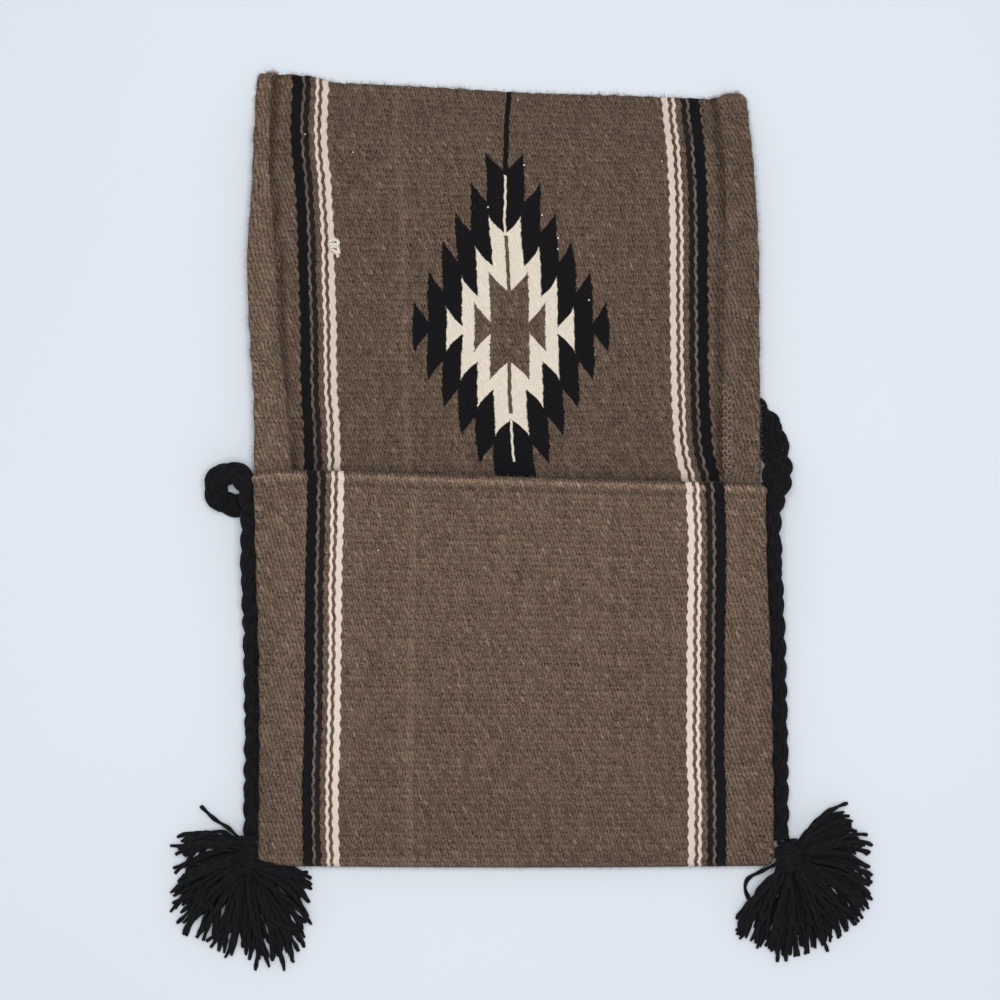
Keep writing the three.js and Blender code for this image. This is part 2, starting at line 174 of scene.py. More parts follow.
def new_material(name, roughness, sheen=0.0):
    """A material with its shader's plain values set; gives its tree and its shader too."""
    material = bpy.data.materials.new(name)
    material.use_nodes = True
    shader = material.node_tree.nodes["Principled BSDF"]
    shader.inputs["Roughness"].default_value = roughness
    shader.inputs["Specular IOR Level"].default_value = SPECULAR
    shader.inputs["Sheen Weight"].default_value = sheen
    print("Material", name, "with roughness", roughness)
    return material, material.node_tree, shader


def emboss(shader, height, strength, depth):
    """Gives a shader's surface a relief; depth is what a height of 1 stands for, in millimetres."""
    bump = put(shader.id_data, "Bump", strength, depth * MM)
    fill(bump.inputs["Height"], height)
    fill(shader.inputs["Normal"], Wire(bump.outputs["Normal"]))


print("Material helpers ready")

# %% [markdown]
# ## Floor and light
# One wide area lamp and an even world light add up to a level of about 1, at which a colour comes
# out as it is written. The lamp hangs almost overhead, as the faint shadows tell.

# %% Floor, lamp and world
FLOOR_SIZE = 8
FLOOR_COLOURS = colour(229, 234, 242), colour(224, 230, 239)
FLOOR_SPOTS = 3.0
LAMP_SIZE = 1.0
LAMP_PLACE = (0.03, 0.05, 1.5)
LAMP_POWER = 14.6
WORLD_COLOUR = (0.97, 0.985, 1.0, 1.0)
WORLD_LIGHT = 0.44

bpy.ops.mesh.primitive_plane_add(size=FLOOR_SIZE)
floor = bpy.context.object
floor.name = "studio_floor"
floor_material, tree, shader = new_material("studio_floor", roughness=0.9)
spots = noise(wire(tree, "TexCoord", out="Object"), FLOOR_SPOTS)
fill(shader.inputs["Base Color"], blend(tree, spots, *FLOOR_COLOURS))
floor.data.materials.append(floor_material)

bpy.ops.object.light_add(type="AREA", location=LAMP_PLACE)
lamp = bpy.context.object
lamp.data.shape = "DISK"
lamp.data.size = LAMP_SIZE
lamp.data.energy = LAMP_POWER
lamp.rotation_euler = (-lamp.location).to_track_quat("-Z", "Y").to_euler()

world = bpy.data.worlds.new("soft_room")
bpy.context.scene.world = world
world.use_nodes = True
sky = world.node_tree.nodes["Background"]
sky.inputs["Color"].default_value = WORLD_COLOUR
sky.inputs["Strength"].default_value = WORLD_LIGHT
print("Floor, one lamp of", LAMP_POWER, "W and a world of", WORLD_LIGHT)

# %% [markdown]
# ## Yarn
# All the cords here are wool yarn: soft, two-ply and a little hairy. A yarn is a tube along a line, so
# one helper makes closed tubes round many lines at once and writes a UV map with them: U runs along
# the yarn in millimetres and V once round it. The twist of the plies is drawn along that map.
# Cords are mesh code here, because thousands of yarn rings follow one formula.
#
# Soft shapes come from three helpers, and many of the named pairs and triples further down are given
# to one of them. Rise takes a start and a length, bell takes a size, a middle and a width, and ripple
# takes a size and a wavelength.

# %% Curves and waves
RIPPLE_WAVES = 7
RIPPLE_SUM = 3.2
FINE_STEPS = 40


def unit(vectors):
    """Vectors of length 1."""
    return vectors / np.maximum(np.linalg.norm(vectors, axis=-1, keepdims=True), 1e-9)


def rise(x, start, length):
    """0 up to start and 1 from start + length on, soft between; a negative length turns it round."""
    t = np.clip((x - start) / length, 0, 1)
    return t * t * (3 - 2 * t)


def bell(x, size, middle, width):
    """A soft bump of a size and width, round its middle."""
    return size * np.exp(-(((x - middle) / width) ** 2))


def ripple(places, seed, size, wavelength):
    """A soft random wave of about a size, along a line or over a plane."""
    dice = np.random.default_rng(seed)
    places = np.atleast_2d(np.asarray(places, float).T).T
    total = np.zeros(places.shape[0])
    for _ in range(RIPPLE_WAVES):
        direction = dice.normal(size=places.shape[1])
        direction *= 2 * np.pi / (wavelength * dice.uniform(0.7, 1.6) * np.linalg.norm(direction))
        total += np.sin(places @ direction + dice.uniform(0, 2 * np.pi))
    return size * total / RIPPLE_SUM


def cubic(t, first, last, start, end):
    """A curve from the first to the last value, with its slopes at the start and the end."""
    gap = last - first
    return first + start * t + (3 * gap - 2 * start - end) * t**2 + (start + end - 2 * gap) * t**3


def through(points, at):
    """A smooth line through given points of (place, value)."""
    place, value = np.array(points, float).T
    slope = np.gradient(value, place)
    at = np.clip(at, place[0], place[-1])
    i = np.clip(np.searchsorted(place, at) - 1, 0, len(place) - 2)
    gap = place[i + 1] - place[i]
    return cubic((at - place[i]) / gap, value[i], value[i + 1], slope[i] * gap, slope[i + 1] * gap)


def lengths(line):
    """The length along a line at each of its points."""
    return np.concatenate([[0], np.cumsum(np.linalg.norm(np.diff(line, axis=0), axis=1))])


def on_line(line, marks, places=None):
    """The points of a line at some marks; its places are its points' numbers, if not given."""
    places = np.arange(len(line)) if places is None else places
    return np.stack([np.interp(marks, places, values) for values in line.T], axis=1)


def even_route(points, spacing):
    """A smooth curve through the points (a centripetal spline), as points an even distance apart."""
    knots = np.asarray(points, float)
    knots = np.vstack([2 * knots[0] - knots[1], knots, 2 * knots[-1] - knots[-2]])
    t = np.linspace(0, 1, FINE_STEPS, endpoint=False)[:, None]
    fine = []
    for a, b, c, d in zip(knots, knots[1:], knots[2:], knots[3:]):
        before, here, later = (math.sqrt(np.linalg.norm(q - p)) for p, q in ((a, b), (b, c), (c, d)))
        start = ((b - a) / before - (c - a) / (before + here) + (c - b) / here) * here
        end = ((c - b) / here - (d - b) / (here + later) + (d - c) / later) * here
        fine.append(cubic(t, b, c, start, end))
    fine = np.vstack([*fine, knots[-2]])
    length = lengths(fine)
    return on_line(fine, np.linspace(0, length[-1], round(length[-1] / spacing) + 1), length)


def even_count(points, spacing, count):
    """The same curve, as a fixed number of points."""
    line = even_route(points, spacing)
    return on_line(line, np.linspace(0, len(line) - 1, count))


print("Curves ready")

# %% Yarn pieces
def new_piece(name, points, faces, material, map_name, corners):
    """A smooth mesh object at the origin from points in millimetres, with its material and UV map."""
    mesh = bpy.data.meshes.new(name)
    mesh.from_pydata((np.asarray(points) * MM).tolist(), [], faces)
    mesh.polygons.foreach_set("use_smooth", [True] * len(mesh.polygons))
    mesh.materials.append(material)
    mesh.update()
    mesh.uv_layers.new(name=map_name).data.foreach_set("uv", np.asarray(corners, np.float32).ravel())
    piece = bpy.data.objects.new(name, mesh)
    bpy.context.collection.objects.link(piece)
    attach(piece, "root")
    print(name, "has", sum(len(face) - 2 for face in faces), "triangles")
    return piece


def side_and_top(lines):
    """Directions to the side and to the top of each point of lines of [..., point, xyz]."""
    along = unit(np.gradient(lines, axis=-2))
    side = unit(np.cross((0, 0, 1), along))
    return side, np.cross(along, side)


def yarn_tubes(lines, radius, sides, ply, ply_turn):
    """Closed tubes round lines of [yarn, ring, xyz]: points, faces and the UV of each face corner."""
    yarns, rings = lines.shape[:2]
    radius = np.broadcast_to(np.asarray(radius, float), (yarns, rings))
    side, top = side_and_top(lines)
    length = np.array([lengths(line) for line in lines])
    turn = np.arange(sides) * 2 * np.pi / sides
    lobes = 1 + ply * np.cos(2 * (turn - np.pi * length[:, :, None] / ply_turn))
    ring = side[:, :, None] * np.cos(turn)[:, None] + top[:, :, None] * np.sin(turn)[:, None]
    points = (lines[:, :, None] + ring * (radius[:, :, None] * lobes)[..., None]).reshape(-1, 3)

    index = np.arange(yarns * rings * sides).reshape(yarns, rings, sides)
    after = np.roll(index, -1, axis=2)
    quads = np.stack([index[:, :-1], after[:, :-1], after[:, 1:], index[:, 1:]], axis=-1).reshape(-1, 4)
    caps = [row[::-1].tolist() for row in index[:, 0]] + [row.tolist() for row in index[:, -1]]

    around = np.arange(sides + 1) / sides
    low, high, left, right = np.broadcast_arrays(
        length[:, :-1, None], length[:, 1:, None], around[:-1], around[1:]
    )
    corners = np.stack([low, left, low, right, high, right, high, left], axis=-1).reshape(-1, 2)
    ends = np.concatenate([np.repeat(length[:, 0], sides), np.repeat(length[:, -1], sides)])
    cap_corners = np.stack([ends, np.tile(around[:-1], 2 * yarns)], axis=-1)
    return points, quads.tolist() + caps, np.concatenate([corners, cap_corners])


def yarn_piece(name, lines, radius, material, sides, ply=0.0, ply_turn=9.0):
    """Yarns along lines, as one piece; ply is how far the two plies stand out, over a turn in mm."""
    points, faces, corners = yarn_tubes(np.asarray(lines, float), radius, sides, ply, ply_turn)
    return new_piece(name, points, faces, material, "yarn", corners)


print("Yarn helpers ready")

# %% [markdown]
# ## Wool finishes
# Wool is matt, with short fibres that catch light. Two effects are used by more than one material, so
# each is a node group: the fibres' fine streaks and the twist of a two-ply yarn. Groups give out
# values only, and every material keeps its own shader.

# %% Node group helpers
def new_group(name, outputs, **inputs):
    """A group, the wires from its inputs and its output sockets; None makes an input a place."""
    group = bpy.data.node_groups.new(name, "ShaderNodeTree")
    for label, value in inputs.items():
        kind = "NodeSocketVector" if value is None else "NodeSocketFloat"
        socket = group.interface.new_socket(label.replace("_", " "), in_out="INPUT", socket_type=kind)
        if value is not None:
            socket.default_value = value
    for label in outputs:
        group.interface.new_socket(label, in_out="OUTPUT", socket_type="NodeSocketFloat")
    given = [Wire(socket) for socket in group.nodes.new("NodeGroupInput").outputs if socket.name]
    print("Group", name, "gives", *outputs)
    return group, given, group.nodes.new("NodeGroupOutput").inputs


def use_group(tree, group, **inputs):
    """Places a group in a material and fills its inputs by name, with _ for a space."""
    made = tree.nodes.new("ShaderNodeGroup")
    made.node_tree = group
    for label, value in inputs.items():
        fill(made.inputs[label.replace("_", " ")], value)
    return {socket.name: Wire(socket) for socket in made.outputs}


print("Group helpers ready")

# %% Group: wool fibres
FIBRE_DETAIL = (3.0, 0.6)
fibres, (place, fineness, stretch), result = new_group(
    "wool_fibres", ["Streaks"], Place=None, Fineness=2.0, Stretch=0.2
)
across, along, up = place.parts()
stretched = wire(fibres, "CombineXYZ", across, along * stretch, up)
fill(result["Streaks"], noise(stretched, fineness, *FIBRE_DETAIL))

# %% Group: ply twist
twist, (place, turn, plies), result = new_group("ply_twist", ["Ridge"], Place=None, Turn=7.0, Plies=2.0)
along, around, _ = place.parts()
phase = around * plies + along / turn
fill(result["Ridge"], abs((phase * math.pi).sine()).root())

# %% Yarn materials
YARN_ROUND = 5.0
LEAST_TONE = 0.35
STREAK_HEIGHT = 0.5


def yarn_material(name, ply_groove_shade, light, sheen):
    """Two-ply wool yarn: painted shade between the plies, lighter on them, with fine fibres along it."""
    material, tree, shader = new_material(name, roughness=0.92, sheen=sheen)
    place = wire(tree, "UVMap", uv_map="yarn", out="UV")
    along, around, _ = place.parts()
    turned = wire(tree, "CombineXYZ", around * YARN_ROUND, along)
    ridge = use_group(tree, twist, Place=place)["Ridge"]
    streaks = use_group(tree, fibres, Place=turned, Fineness=1.6, Stretch=0.6)["Streaks"]
    # Painted shade in the grooves between the plies.
    fill(shader.inputs["Base Color"], blend(tree, ridge * (streaks + LEAST_TONE), ply_groove_shade, light))
    emboss(shader, ridge + streaks * STREAK_HEIGHT, strength=0.6, depth=0.4)
    return material


black_yarn = yarn_material("black_wool_yarn", colour(11, 11, 12), colour(26, 26, 30), 0.02)
cream_yarn = yarn_material("cream_wool_yarn", colour(196, 182, 164), colour(250, 242, 230), 0.1)
pale_yarn = yarn_material("pale_brown_wool_yarn", colour(98, 82, 70), colour(178, 160, 144), 0.1)
stitch_yarn = yarn_material("stitch_wool_yarn", colour(84, 68, 56), colour(142, 123, 108), 0.05)

# %% [markdown]
# ## The plait
# The strap is a flat plait of three strands. It is sewn up the right side of the pocket, leaves the
# corner at the mouth, lies folded under the flap, comes out at the left corner in a tight curl and is
# sewn down the left side. It could be a plain tube with a pattern, but the lobes of the plait
# make its outline, so the strands are real: each goes from side to side on a sine while it goes up
# and down twice as fast, a third of a turn after the one before it. Six yarns round a core make
# one strand.
#
# The route of the free part repeats the CAD model's points. One line runs through all three
# stretches, so the plait goes on unbroken where the sewn part becomes the free part.

# %% Places of the plait and the edges
MOUTH_Y = 21.5
BOTTOM_Y = -173.0
STACK = 10.2
STRAP_ROOM = 6.6
BACK_RISE = (-80.0, 75.0)
STRAP_EXIT_Z = 11.7
STRAP_LOW_Z = 3.05

LEFT_EDGE = [
    (-173, -129), (-90, -128.6), (-20, -130), (30, -131), (60, -131.2), (95, -133.4), (135, -134.3),
    (165, -132.2), (195, -131), (223, -130),
]
RIGHT_EDGE = [
    (-173, 129.3), (-110, 128.5), (-65, 127.5), (-20, 125.6), (20, 122.4), (60, 122), (100, 121.6),
    (135, 121.4), (170, 119.6), (213, 116),
]
FRONT_RIGHT_EDGE = [(-173, 129.3), (-110, 128.5), (-65, 127.5), (-20, 125.2), (20, 124.3)]

STRAP_POINTS = [
    (128.8, -10.8, STRAP_EXIT_Z), (129, -7, STRAP_EXIT_Z), (130.2, -2, 10.6), (130.8, 4, 8.2),
    (130.2, 11, 5.2),
    *[(x, y, STRAP_LOW_Z) for x, y in [
        (128.6, 18.5), (125, 26.5), (119.2, 33.5), (110, 38.5), (98, 40.5), (70, 41), (-10, 41), (-60, 41),
        (-79, 48.5), (-87, 66.5), (-79, 84.5), (-60, 92), (63, 92), (82, 99.5), (90, 117.5), (82, 135.5),
        (63, 143), (-70, 143), (-98, 133), (-110, 107), (-111, 70), (-110, 30), (-108, 8), (-111, -7),
        (-119, -14.1),
    ]],
]
CURL_POINTS = [
    (-128, -14.1, STRAP_LOW_Z), (-136, -14.1, STRAP_LOW_Z), (-143, -14.1, 3.8), (-148.3, -11.9, 5.4),
    (-150.7, -6.2, 7.4), (-148.8, 0, 9.6), (-143.4, 2.6, 11.2), (-138.3, 0, 11.6),
    (-135.6, -6, STRAP_EXIT_Z), (-135, -10.8, STRAP_EXIT_Z),
]
print("Chosen points of the free strap:", len(STRAP_POINTS + CURL_POINTS))

# %% Route of the plait
SPACING = 1.5
SIDE_BOTTOM_Y = -161.0
SIDE_TOP_Y = 10.0
SIDE_REACH = 2.9
ROUTE_EASE = 5


def back_height(y):
    """How high the back panel lies: flat on the floor at the bottom, on the folded strap above."""
    return STRAP_ROOM * rise(y, *BACK_RISE)


def eased(values, window):
    """Values along a line, each the mean of a window of its neighbours."""
    return np.convolve(np.pad(values, window // 2, mode="edge"), np.ones(window) / window, mode="valid")


def side_route(side, edge, ys):
    """The line of a sewn side, close against the cloth's edge; side is -1 or 1."""
    return np.stack([through(edge, ys) + side * SIDE_REACH, ys, back_height(ys) + STACK / 2], axis=1)


climb = np.arange(SIDE_BOTTOM_Y, SIDE_TOP_Y, SPACING)
free_route = even_route([(x, y + MOUTH_Y, z) for x, y, z in STRAP_POINTS + CURL_POINTS], SPACING)
right_route = side_route(1, FRONT_RIGHT_EDGE, climb)
left_route = side_route(-1, LEFT_EDGE, climb[::-1])
whole_route = np.vstack([right_route, free_route, left_route])
whole_route = np.stack([eased(values, ROUTE_EASE) for values in whole_route.T], axis=1)
first, last = len(climb), len(climb) + len(free_route)
free_length = lengths(free_route)[-1]
print("Free strap:", round(free_length), "mm long")

# %% Width of the plait
STRAP_WIDTH, STRAP_HEIGHT = 11.4, 6.1
SIDE_WIDTH, SIDE_HEIGHT = 10.6, 8.4
SEWN_EASE = 7
BULGE_WIDTH, BULGE_END = 16.2, (75.0, -30.0)
CURL_WIDTH, CURL_START = 12.8, (-60.0, 20.0)
NECK_WIDTH, NECK_START, NECK_END = 9.2, (-9.0, 7.0), (10.0, 26.0)
CURL_LEAN = 1.9

from_exit = SPACING * (np.arange(len(whole_route)) - first)
past_curl = from_exit - free_length
bulge = rise(from_exit, *BULGE_END)
curled = rise(past_curl, *CURL_START)
free_width = STRAP_WIDTH + (BULGE_WIDTH - STRAP_WIDTH) * bulge + (CURL_WIDTH - STRAP_WIDTH) * curled
sewn = np.ones(len(whole_route))
sewn[first:last] = 0
sewn = eased(sewn, SEWN_EASE)
neck = rise(past_curl, *NECK_START) * (1 - rise(past_curl, *NECK_END))
plait_width = (SIDE_WIDTH * sewn + free_width * (1 - sewn)) * (1 - neck) + NECK_WIDTH * neck
plait_height = SIDE_HEIGHT * sewn + STRAP_HEIGHT * (1 - sewn)
whole_route[:, 0] += bell(past_curl, CURL_LEAN, *NECK_START)
print("Plait:", round(plait_width.min(), 1), "to", round(plait_width.max(), 1), "mm wide")

# %% Strands and yarns of the plait
STRANDS = 3
LOBE_PITCH = 10.4
STRAND_WIDE, STRAND_HIGH = 0.285, 0.32
YARN_RADIUS = 1.15
CORE_RADIUS = 1.5
YARNS = 6
YARN_TURN = 40.0
LOOSE = (0.1, 45.0)
UNEVEN_TURN = (0.25, 60.0)
WANDER = (0.5, 30.0)


def plait_lines(route, across, high):
    """The lines of a three-strand plait's yarns, each strand's core first; across and high are its size."""
    side, top = side_and_top(route)
    place = lengths(route)
    lines = []
    for strand in range(STRANDS):
        turn = 2 * np.pi * (place / (STRANDS * LOBE_PITCH) + strand / STRANDS)
        turn = turn + ripple(place, 20 + strand, *UNEVEN_TURN)
        wide = STRAND_WIDE * across * (1 + ripple(place, 10 + strand, *LOOSE))
        tall = STRAND_HIGH * high
        out = (across / 2 - wide) * np.sin(turn)
        up = (high / 2 - tall) * np.sin(2 * turn)
        lines.append(route + side * out[:, None] + top * up[:, None])
        for yarn in range(YARNS):
            angle = 2 * np.pi * (yarn / YARNS + place / YARN_TURN)
            angle = angle + ripple(place, 30 + 5 * strand + yarn, *WANDER)
            yarn_out = out + (wide - YARN_RADIUS) * np.cos(angle)
            yarn_up = up + (tall - YARN_RADIUS) * np.sin(angle)
            lines.append(route + side * yarn_out[:, None] + top * yarn_up[:, None])
    return np.array(lines)


all_lines = plait_lines(whole_route, plait_width, plait_height)
print("Plait:", all_lines.shape[0], "yarns of", all_lines.shape[1], "rings")

# %% Strap and side plaits
OVERLAP = 2
STRAND_RADII = np.tile([CORE_RADIUS] + [YARN_RADIUS] * YARNS, STRANDS)[:, None]


def plait_piece(name, lines, *nodes):
    """One stretch of the plait as a piece, in place of its CAD solids."""
    piece = yarn_piece(name, lines, STRAND_RADII, black_yarn, sides=6)
    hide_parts(*nodes)
    return piece


strap = plait_piece("strap", all_lines[:, first:last], "strap_free", "strap_curl")
plait_piece("side_plait_right", all_lines[:, : first + OVERLAP], "side_braid_right")
plait_piece("side_plait_left", all_lines[:, last - OVERLAP :], "side_braid_left")

# %% [markdown]
# ## The cloth
# One strip of cloth is the whole bag: it starts at the flap's end, runs down the back, turns up round
# the bottom fold and ends at the rolled mouth. Its sides are turned in as hems. A flat plane
# with a cloth simulation would lose those folds, so the strip is lofted by code: a thin ribbon
# section, with its two turned-in hems, is set along the path of the strip, ring by ring.
# Two rings lie on each warp, one in the groove and one on the rib, so the ribs of the weave are
# real. The edges follow a few measured points, because a woven strip is never quite straight.

# %% Sizes of the cloth
CLOTH = 2.2
SLIT = 0.3
WARP = 3.07
RIB = 0.08
HALF_WIDTH = 129.0
PLAIN_HEM = 16.5
FLAP_END_Y = 218.7
FOLD_RADIUS = STACK / 2
FOLD_Y = BOTTOM_Y + FOLD_RADIUS
BACK_LENGTH = FLAP_END_Y - FOLD_Y
FOLD_LENGTH = math.pi * FOLD_RADIUS
FRONT_LENGTH = MOUTH_Y - FOLD_Y
STRIP_LENGTH = BACK_LENGTH + FOLD_LENGTH + FRONT_LENGTH
print("Strip:", round(STRIP_LENGTH), "mm long,", round(STRIP_LENGTH / WARP), "warps")

# %% Rings along the strip
TIP_ROWS = np.array([0.25, 0.6])
MOUTH_ZONE = 10.0
MOUTH_ROWS = np.arange(1.2, MOUTH_ZONE, 0.8)
FLAP_FALL = (216.3, -30.8)
FLAP_SLOPE = 0.0435
FRONT_SLOPE = 0.0275

rows = np.arange(0, STRIP_LENGTH, WARP / 2)
rows = rows[rows < STRIP_LENGTH - MOUTH_ZONE]
mouth_rows = STRIP_LENGTH - np.concatenate([MOUTH_ROWS, TIP_ROWS, [0]])
stations = np.unique(np.concatenate([rows, TIP_ROWS, mouth_rows]))
from_mouth = STRIP_LENGTH - stations
on_front = stations > BACK_LENGTH + FOLD_LENGTH
in_fold = (stations >= BACK_LENGTH) & ~on_front
on_flap = ~on_front & ~in_fold
fold_turn = np.clip((stations - BACK_LENGTH) / FOLD_RADIUS, 0, math.pi)
inward_y, inward_z = np.sin(fold_turn), np.cos(fold_turn)
path_y = np.where(in_fold, FOLD_Y - FOLD_RADIUS * inward_y, FLAP_END_Y - stations)
path_y = np.where(on_front, MOUTH_Y - from_mouth, path_y)
path_z = RIB + np.minimum(STRAP_ROOM * rise(path_y, *FLAP_FALL), back_height(path_y))
path_z = path_z + FOLD_RADIUS * (1 - inward_z)
flap_share = np.clip((path_y - MOUTH_Y) / (FLAP_END_Y - MOUTH_Y), 0, 1) * ~on_front
front_share = np.clip((path_y - BOTTOM_Y) / (MOUTH_Y - BOTTOM_Y), 0, 1) * on_front
slope = -FLAP_SLOPE * flap_share**3 - FRONT_SLOPE * front_share
print("Rings:", len(stations))

# %% Edges of the strip
END_CORNER = 3.5
MOUTH_CORNER = 3.0
FOLD_PULL = 1.2
ROLL_BULGE = (1.2, 3.6, 2.2)
RIGHT_BULGE = 0.6
EDGE_WAVE = (0.3, 16.0)
EDGE_ROUND = 1.1
EDGE_LEAST = 0.1


def either(front, back):
    """A smooth line through the front's points or the back's, for each ring."""
    return np.where(on_front, through(front, path_y), through(back, path_y))


def drawn_in(share):
    """How far a round end of radius 1 is drawn in, at a share of that radius from its tip."""
    return 1 - np.sqrt(1 - np.clip(1 - share, 0, 1) ** 2)


corner_pull = END_CORNER * drawn_in(stations / END_CORNER) + FOLD_PULL * inward_y**2
corner_pull = corner_pull + MOUTH_CORNER * drawn_in(from_mouth / MOUTH_CORNER)
roll_bulge = bell(from_mouth, *ROLL_BULGE)
left = through(LEFT_EDGE, path_y) + corner_pull - roll_bulge + ripple(stations, 1, *EDGE_WAVE)
right = either(FRONT_RIGHT_EDGE, RIGHT_EDGE) - corner_pull + RIGHT_BULGE * roll_bulge
right = right + ripple(stations, 2, *EDGE_WAVE)
fullness = 1 - drawn_in((np.minimum(stations, from_mouth) + EDGE_LEAST) / EDGE_ROUND)
print("Strip:", round((right - left).min()), "to", round((right - left).max()), "mm wide")

# %% Ribbon section
COLUMNS = 78
HEM_POINTS = 8
FOLD_POINTS = 5
SIDE_POINTS = HEM_POINTS + FOLD_POINTS
EVENNESS = 0.12
HEM_FOLD = CLOTH + SLIT / 2
HEM_END = (1.0, -0.22)
HEM_DROP = 0.35
HEM_THIN = 0.62
LEFT_HEM = [(20, 19), (60, 16.5), (90, 14.7), (130, 14.4), (152, 11.4), (165, 9.3), (190, 8), (220, 7.2)]
RIGHT_HEM = [(20, 18.5), (60, 18.4), (100, 17.9), (142, 16.8), (165, 15.1), (215, 14.5)]

spread = np.linspace(-1, 1, COLUMNS)
spread = (spread + EVENNESS * np.sin(2 * math.pi * spread) / (2 * math.pi)) / 2 + 0.5
fold_angles = np.radians(np.linspace(-90, 90, FOLD_POINTS + 2)[1:-1])
hem_share = np.linspace(0, 1, HEM_POINTS)
hem_end = 1 - rise(hem_share, *HEM_END)
fold_middle = HEM_FOLD - CLOTH / 2


def hem_side(side, edge, hem):
    """The middle line of one turned-in side, from its fold to the hem's free edge."""
    centre = (edge - side * HEM_FOLD)[:, None]
    hem_x = centre - side * (hem - HEM_FOLD)[:, None] * hem_share
    return np.hstack([centre + side * fold_middle * np.cos(fold_angles), hem_x])


def section(fold, hem, main, mirror=1):
    """A value for each point across the ribbon: the left side's, the main cloth's and the right side's."""
    side = np.concatenate([fold, np.broadcast_to(hem, HEM_POINTS)])
    return np.concatenate([mirror * side[::-1], np.full(COLUMNS, main), side])


hem_left = np.where(on_flap, through(LEFT_HEM, path_y), PLAIN_HEM)
hem_right = np.where(on_flap, through(RIGHT_HEM, path_y), PLAIN_HEM)
main_x = (left + HEM_FOLD)[:, None] + (right - left - 2 * HEM_FOLD)[:, None] * spread
middle_x = np.hstack([hem_side(-1, left, hem_left)[:, ::-1], main_x, hem_side(1, right, hem_right)])
hem_height = HEM_FOLD + fold_middle - HEM_DROP * hem_end
middle_h = section(HEM_FOLD + fold_middle * np.sin(fold_angles), hem_height, CLOTH / 2)
out_x = section(np.cos(fold_angles), 0.0, 0.0, mirror=-1)
out_h = section(np.sin(fold_angles), 1.0, -1.0)
wool = section(np.ones(FOLD_POINTS), 1 - HEM_THIN * hem_end**2, 1.0)
is_main = section(np.zeros(FOLD_POINTS), 0.0, 1.0)
print("Points across the ribbon:", len(middle_h))

# %% Woven coordinates
STRIPE_U = 87.15
LEFT_WIDER = 1.05
LEAN, HEM_LEAN = 0.43, 0.46
COARSE_MARGIN = (104.0, 5.0)
FLAP_LEFT_STRIPE = [
    (-173, -90), (25, -89.5), (45, -89.8), (60, -90.9), (100, -91.5), (125, -92.4), (155, -93.4),
    (168, -94.3), (185, -96), (219, -95.6),
]
FLAP_RIGHT_STRIPE = [
    (-173, 87.8), (-80, 87.2), (0, 86.6), (12, 86.2), (21, 84.8), (26, 83.2), (32, 81.8), (45, 80.4),
    (60, 79.5), (85, 79), (125, 78.7), (155, 78.5), (175, 77.8), (185, 77.4), (195, 76.5), (205, 75.6),
    (219, 74.7),
]
FRONT_LEFT_STRIPE = [
    (-173, -90), (-135, -90.2), (-105, -89.2), (-65, -88.7), (-25, -88.2), (5, -87.4), (22, -87.2),
]
FRONT_RIGHT_STRIPE = [
    (-173, 87.8), (-140, 87.5), (-115, 86.6), (-85, 86.6), (-45, 86.9), (0, 87), (22, 86),
]

left_stripe = either(FRONT_LEFT_STRIPE, FLAP_LEFT_STRIPE)[:, None]
right_stripe = either(FRONT_RIGHT_STRIPE, FLAP_RIGHT_STRIPE)[:, None]
main_u = STRIPE_U * (2 * (main_x - left_stripe) / (right_stripe - left_stripe) - 1)
main_u = np.where(main_x < left_stripe, (main_x - left_stripe) * LEFT_WIDER - STRIPE_U, main_u)
main_u = np.where(main_x > right_stripe, main_x - right_stripe + STRIPE_U, main_u)
step_u = np.hypot(np.diff(middle_x, axis=1), np.diff(middle_h))
left_u = main_u[:, :1] - np.cumsum(step_u[:, SIDE_POINTS - 1 :: -1], axis=1)[:, ::-1]
right_u = main_u[:, -1:] + np.cumsum(step_u[:, -SIDE_POINTS:], axis=1)
weave_u = np.hstack([left_u, main_u, right_u])
weave_v = np.broadcast_to(stations[:, None], weave_u.shape)
lean = LEAN + (HEM_LEAN - LEAN) * rise(np.abs(weave_u), *COARSE_MARGIN)
print("The stripes lie", round(float((right_stripe - left_stripe)[0, 0]), 1), "mm apart at the flap's end")

# %% Waves in the plane
END_HOLLOW = 3.0
END_LEFT, END_RIGHT = (-106.0, 17.0), (97.0, 12.0)
END_DENT = (0.8, 8.0, 34.0)
END_RAGGED = (0.35, 6.0)
END_REACH = 30.0
MOUTH_HUMP = (0.6, -80.0, 30.0)
MOUTH_DROP, MOUTH_LEFT = 1.2, (-121.0, -8.0)
BOTTOM_SAG, BOTTOM_SPAN, BOTTOM_START = 1.3, 150.0, (-140.0, -30.0)


def row_shift(x):
    """How far each point of a row lies off its straight line, at the flap's end, the mouth and the bottom."""
    hollow = END_HOLLOW * (rise(x, *END_LEFT) - rise(x, *END_RIGHT)) + bell(x, *END_DENT)
    hollow = hollow + ripple(x.ravel(), 5, *END_RAGGED).reshape(x.shape)
    hump = bell(x, *MOUTH_HUMP) - MOUTH_DROP * rise(x, *MOUTH_LEFT)
    sag = BOTTOM_SAG * (1 - (x / BOTTOM_SPAN) ** 2)
    at_end = np.exp(-stations / END_REACH) * flap_share
    at_bottom = rise(path_y, *BOTTOM_START)
    return hump * (front_share**6)[:, None] - hollow * at_end[:, None] - sag * at_bottom[:, None]


print("Rows are drawn in by up to", END_HOLLOW, "mm at the flap's end")

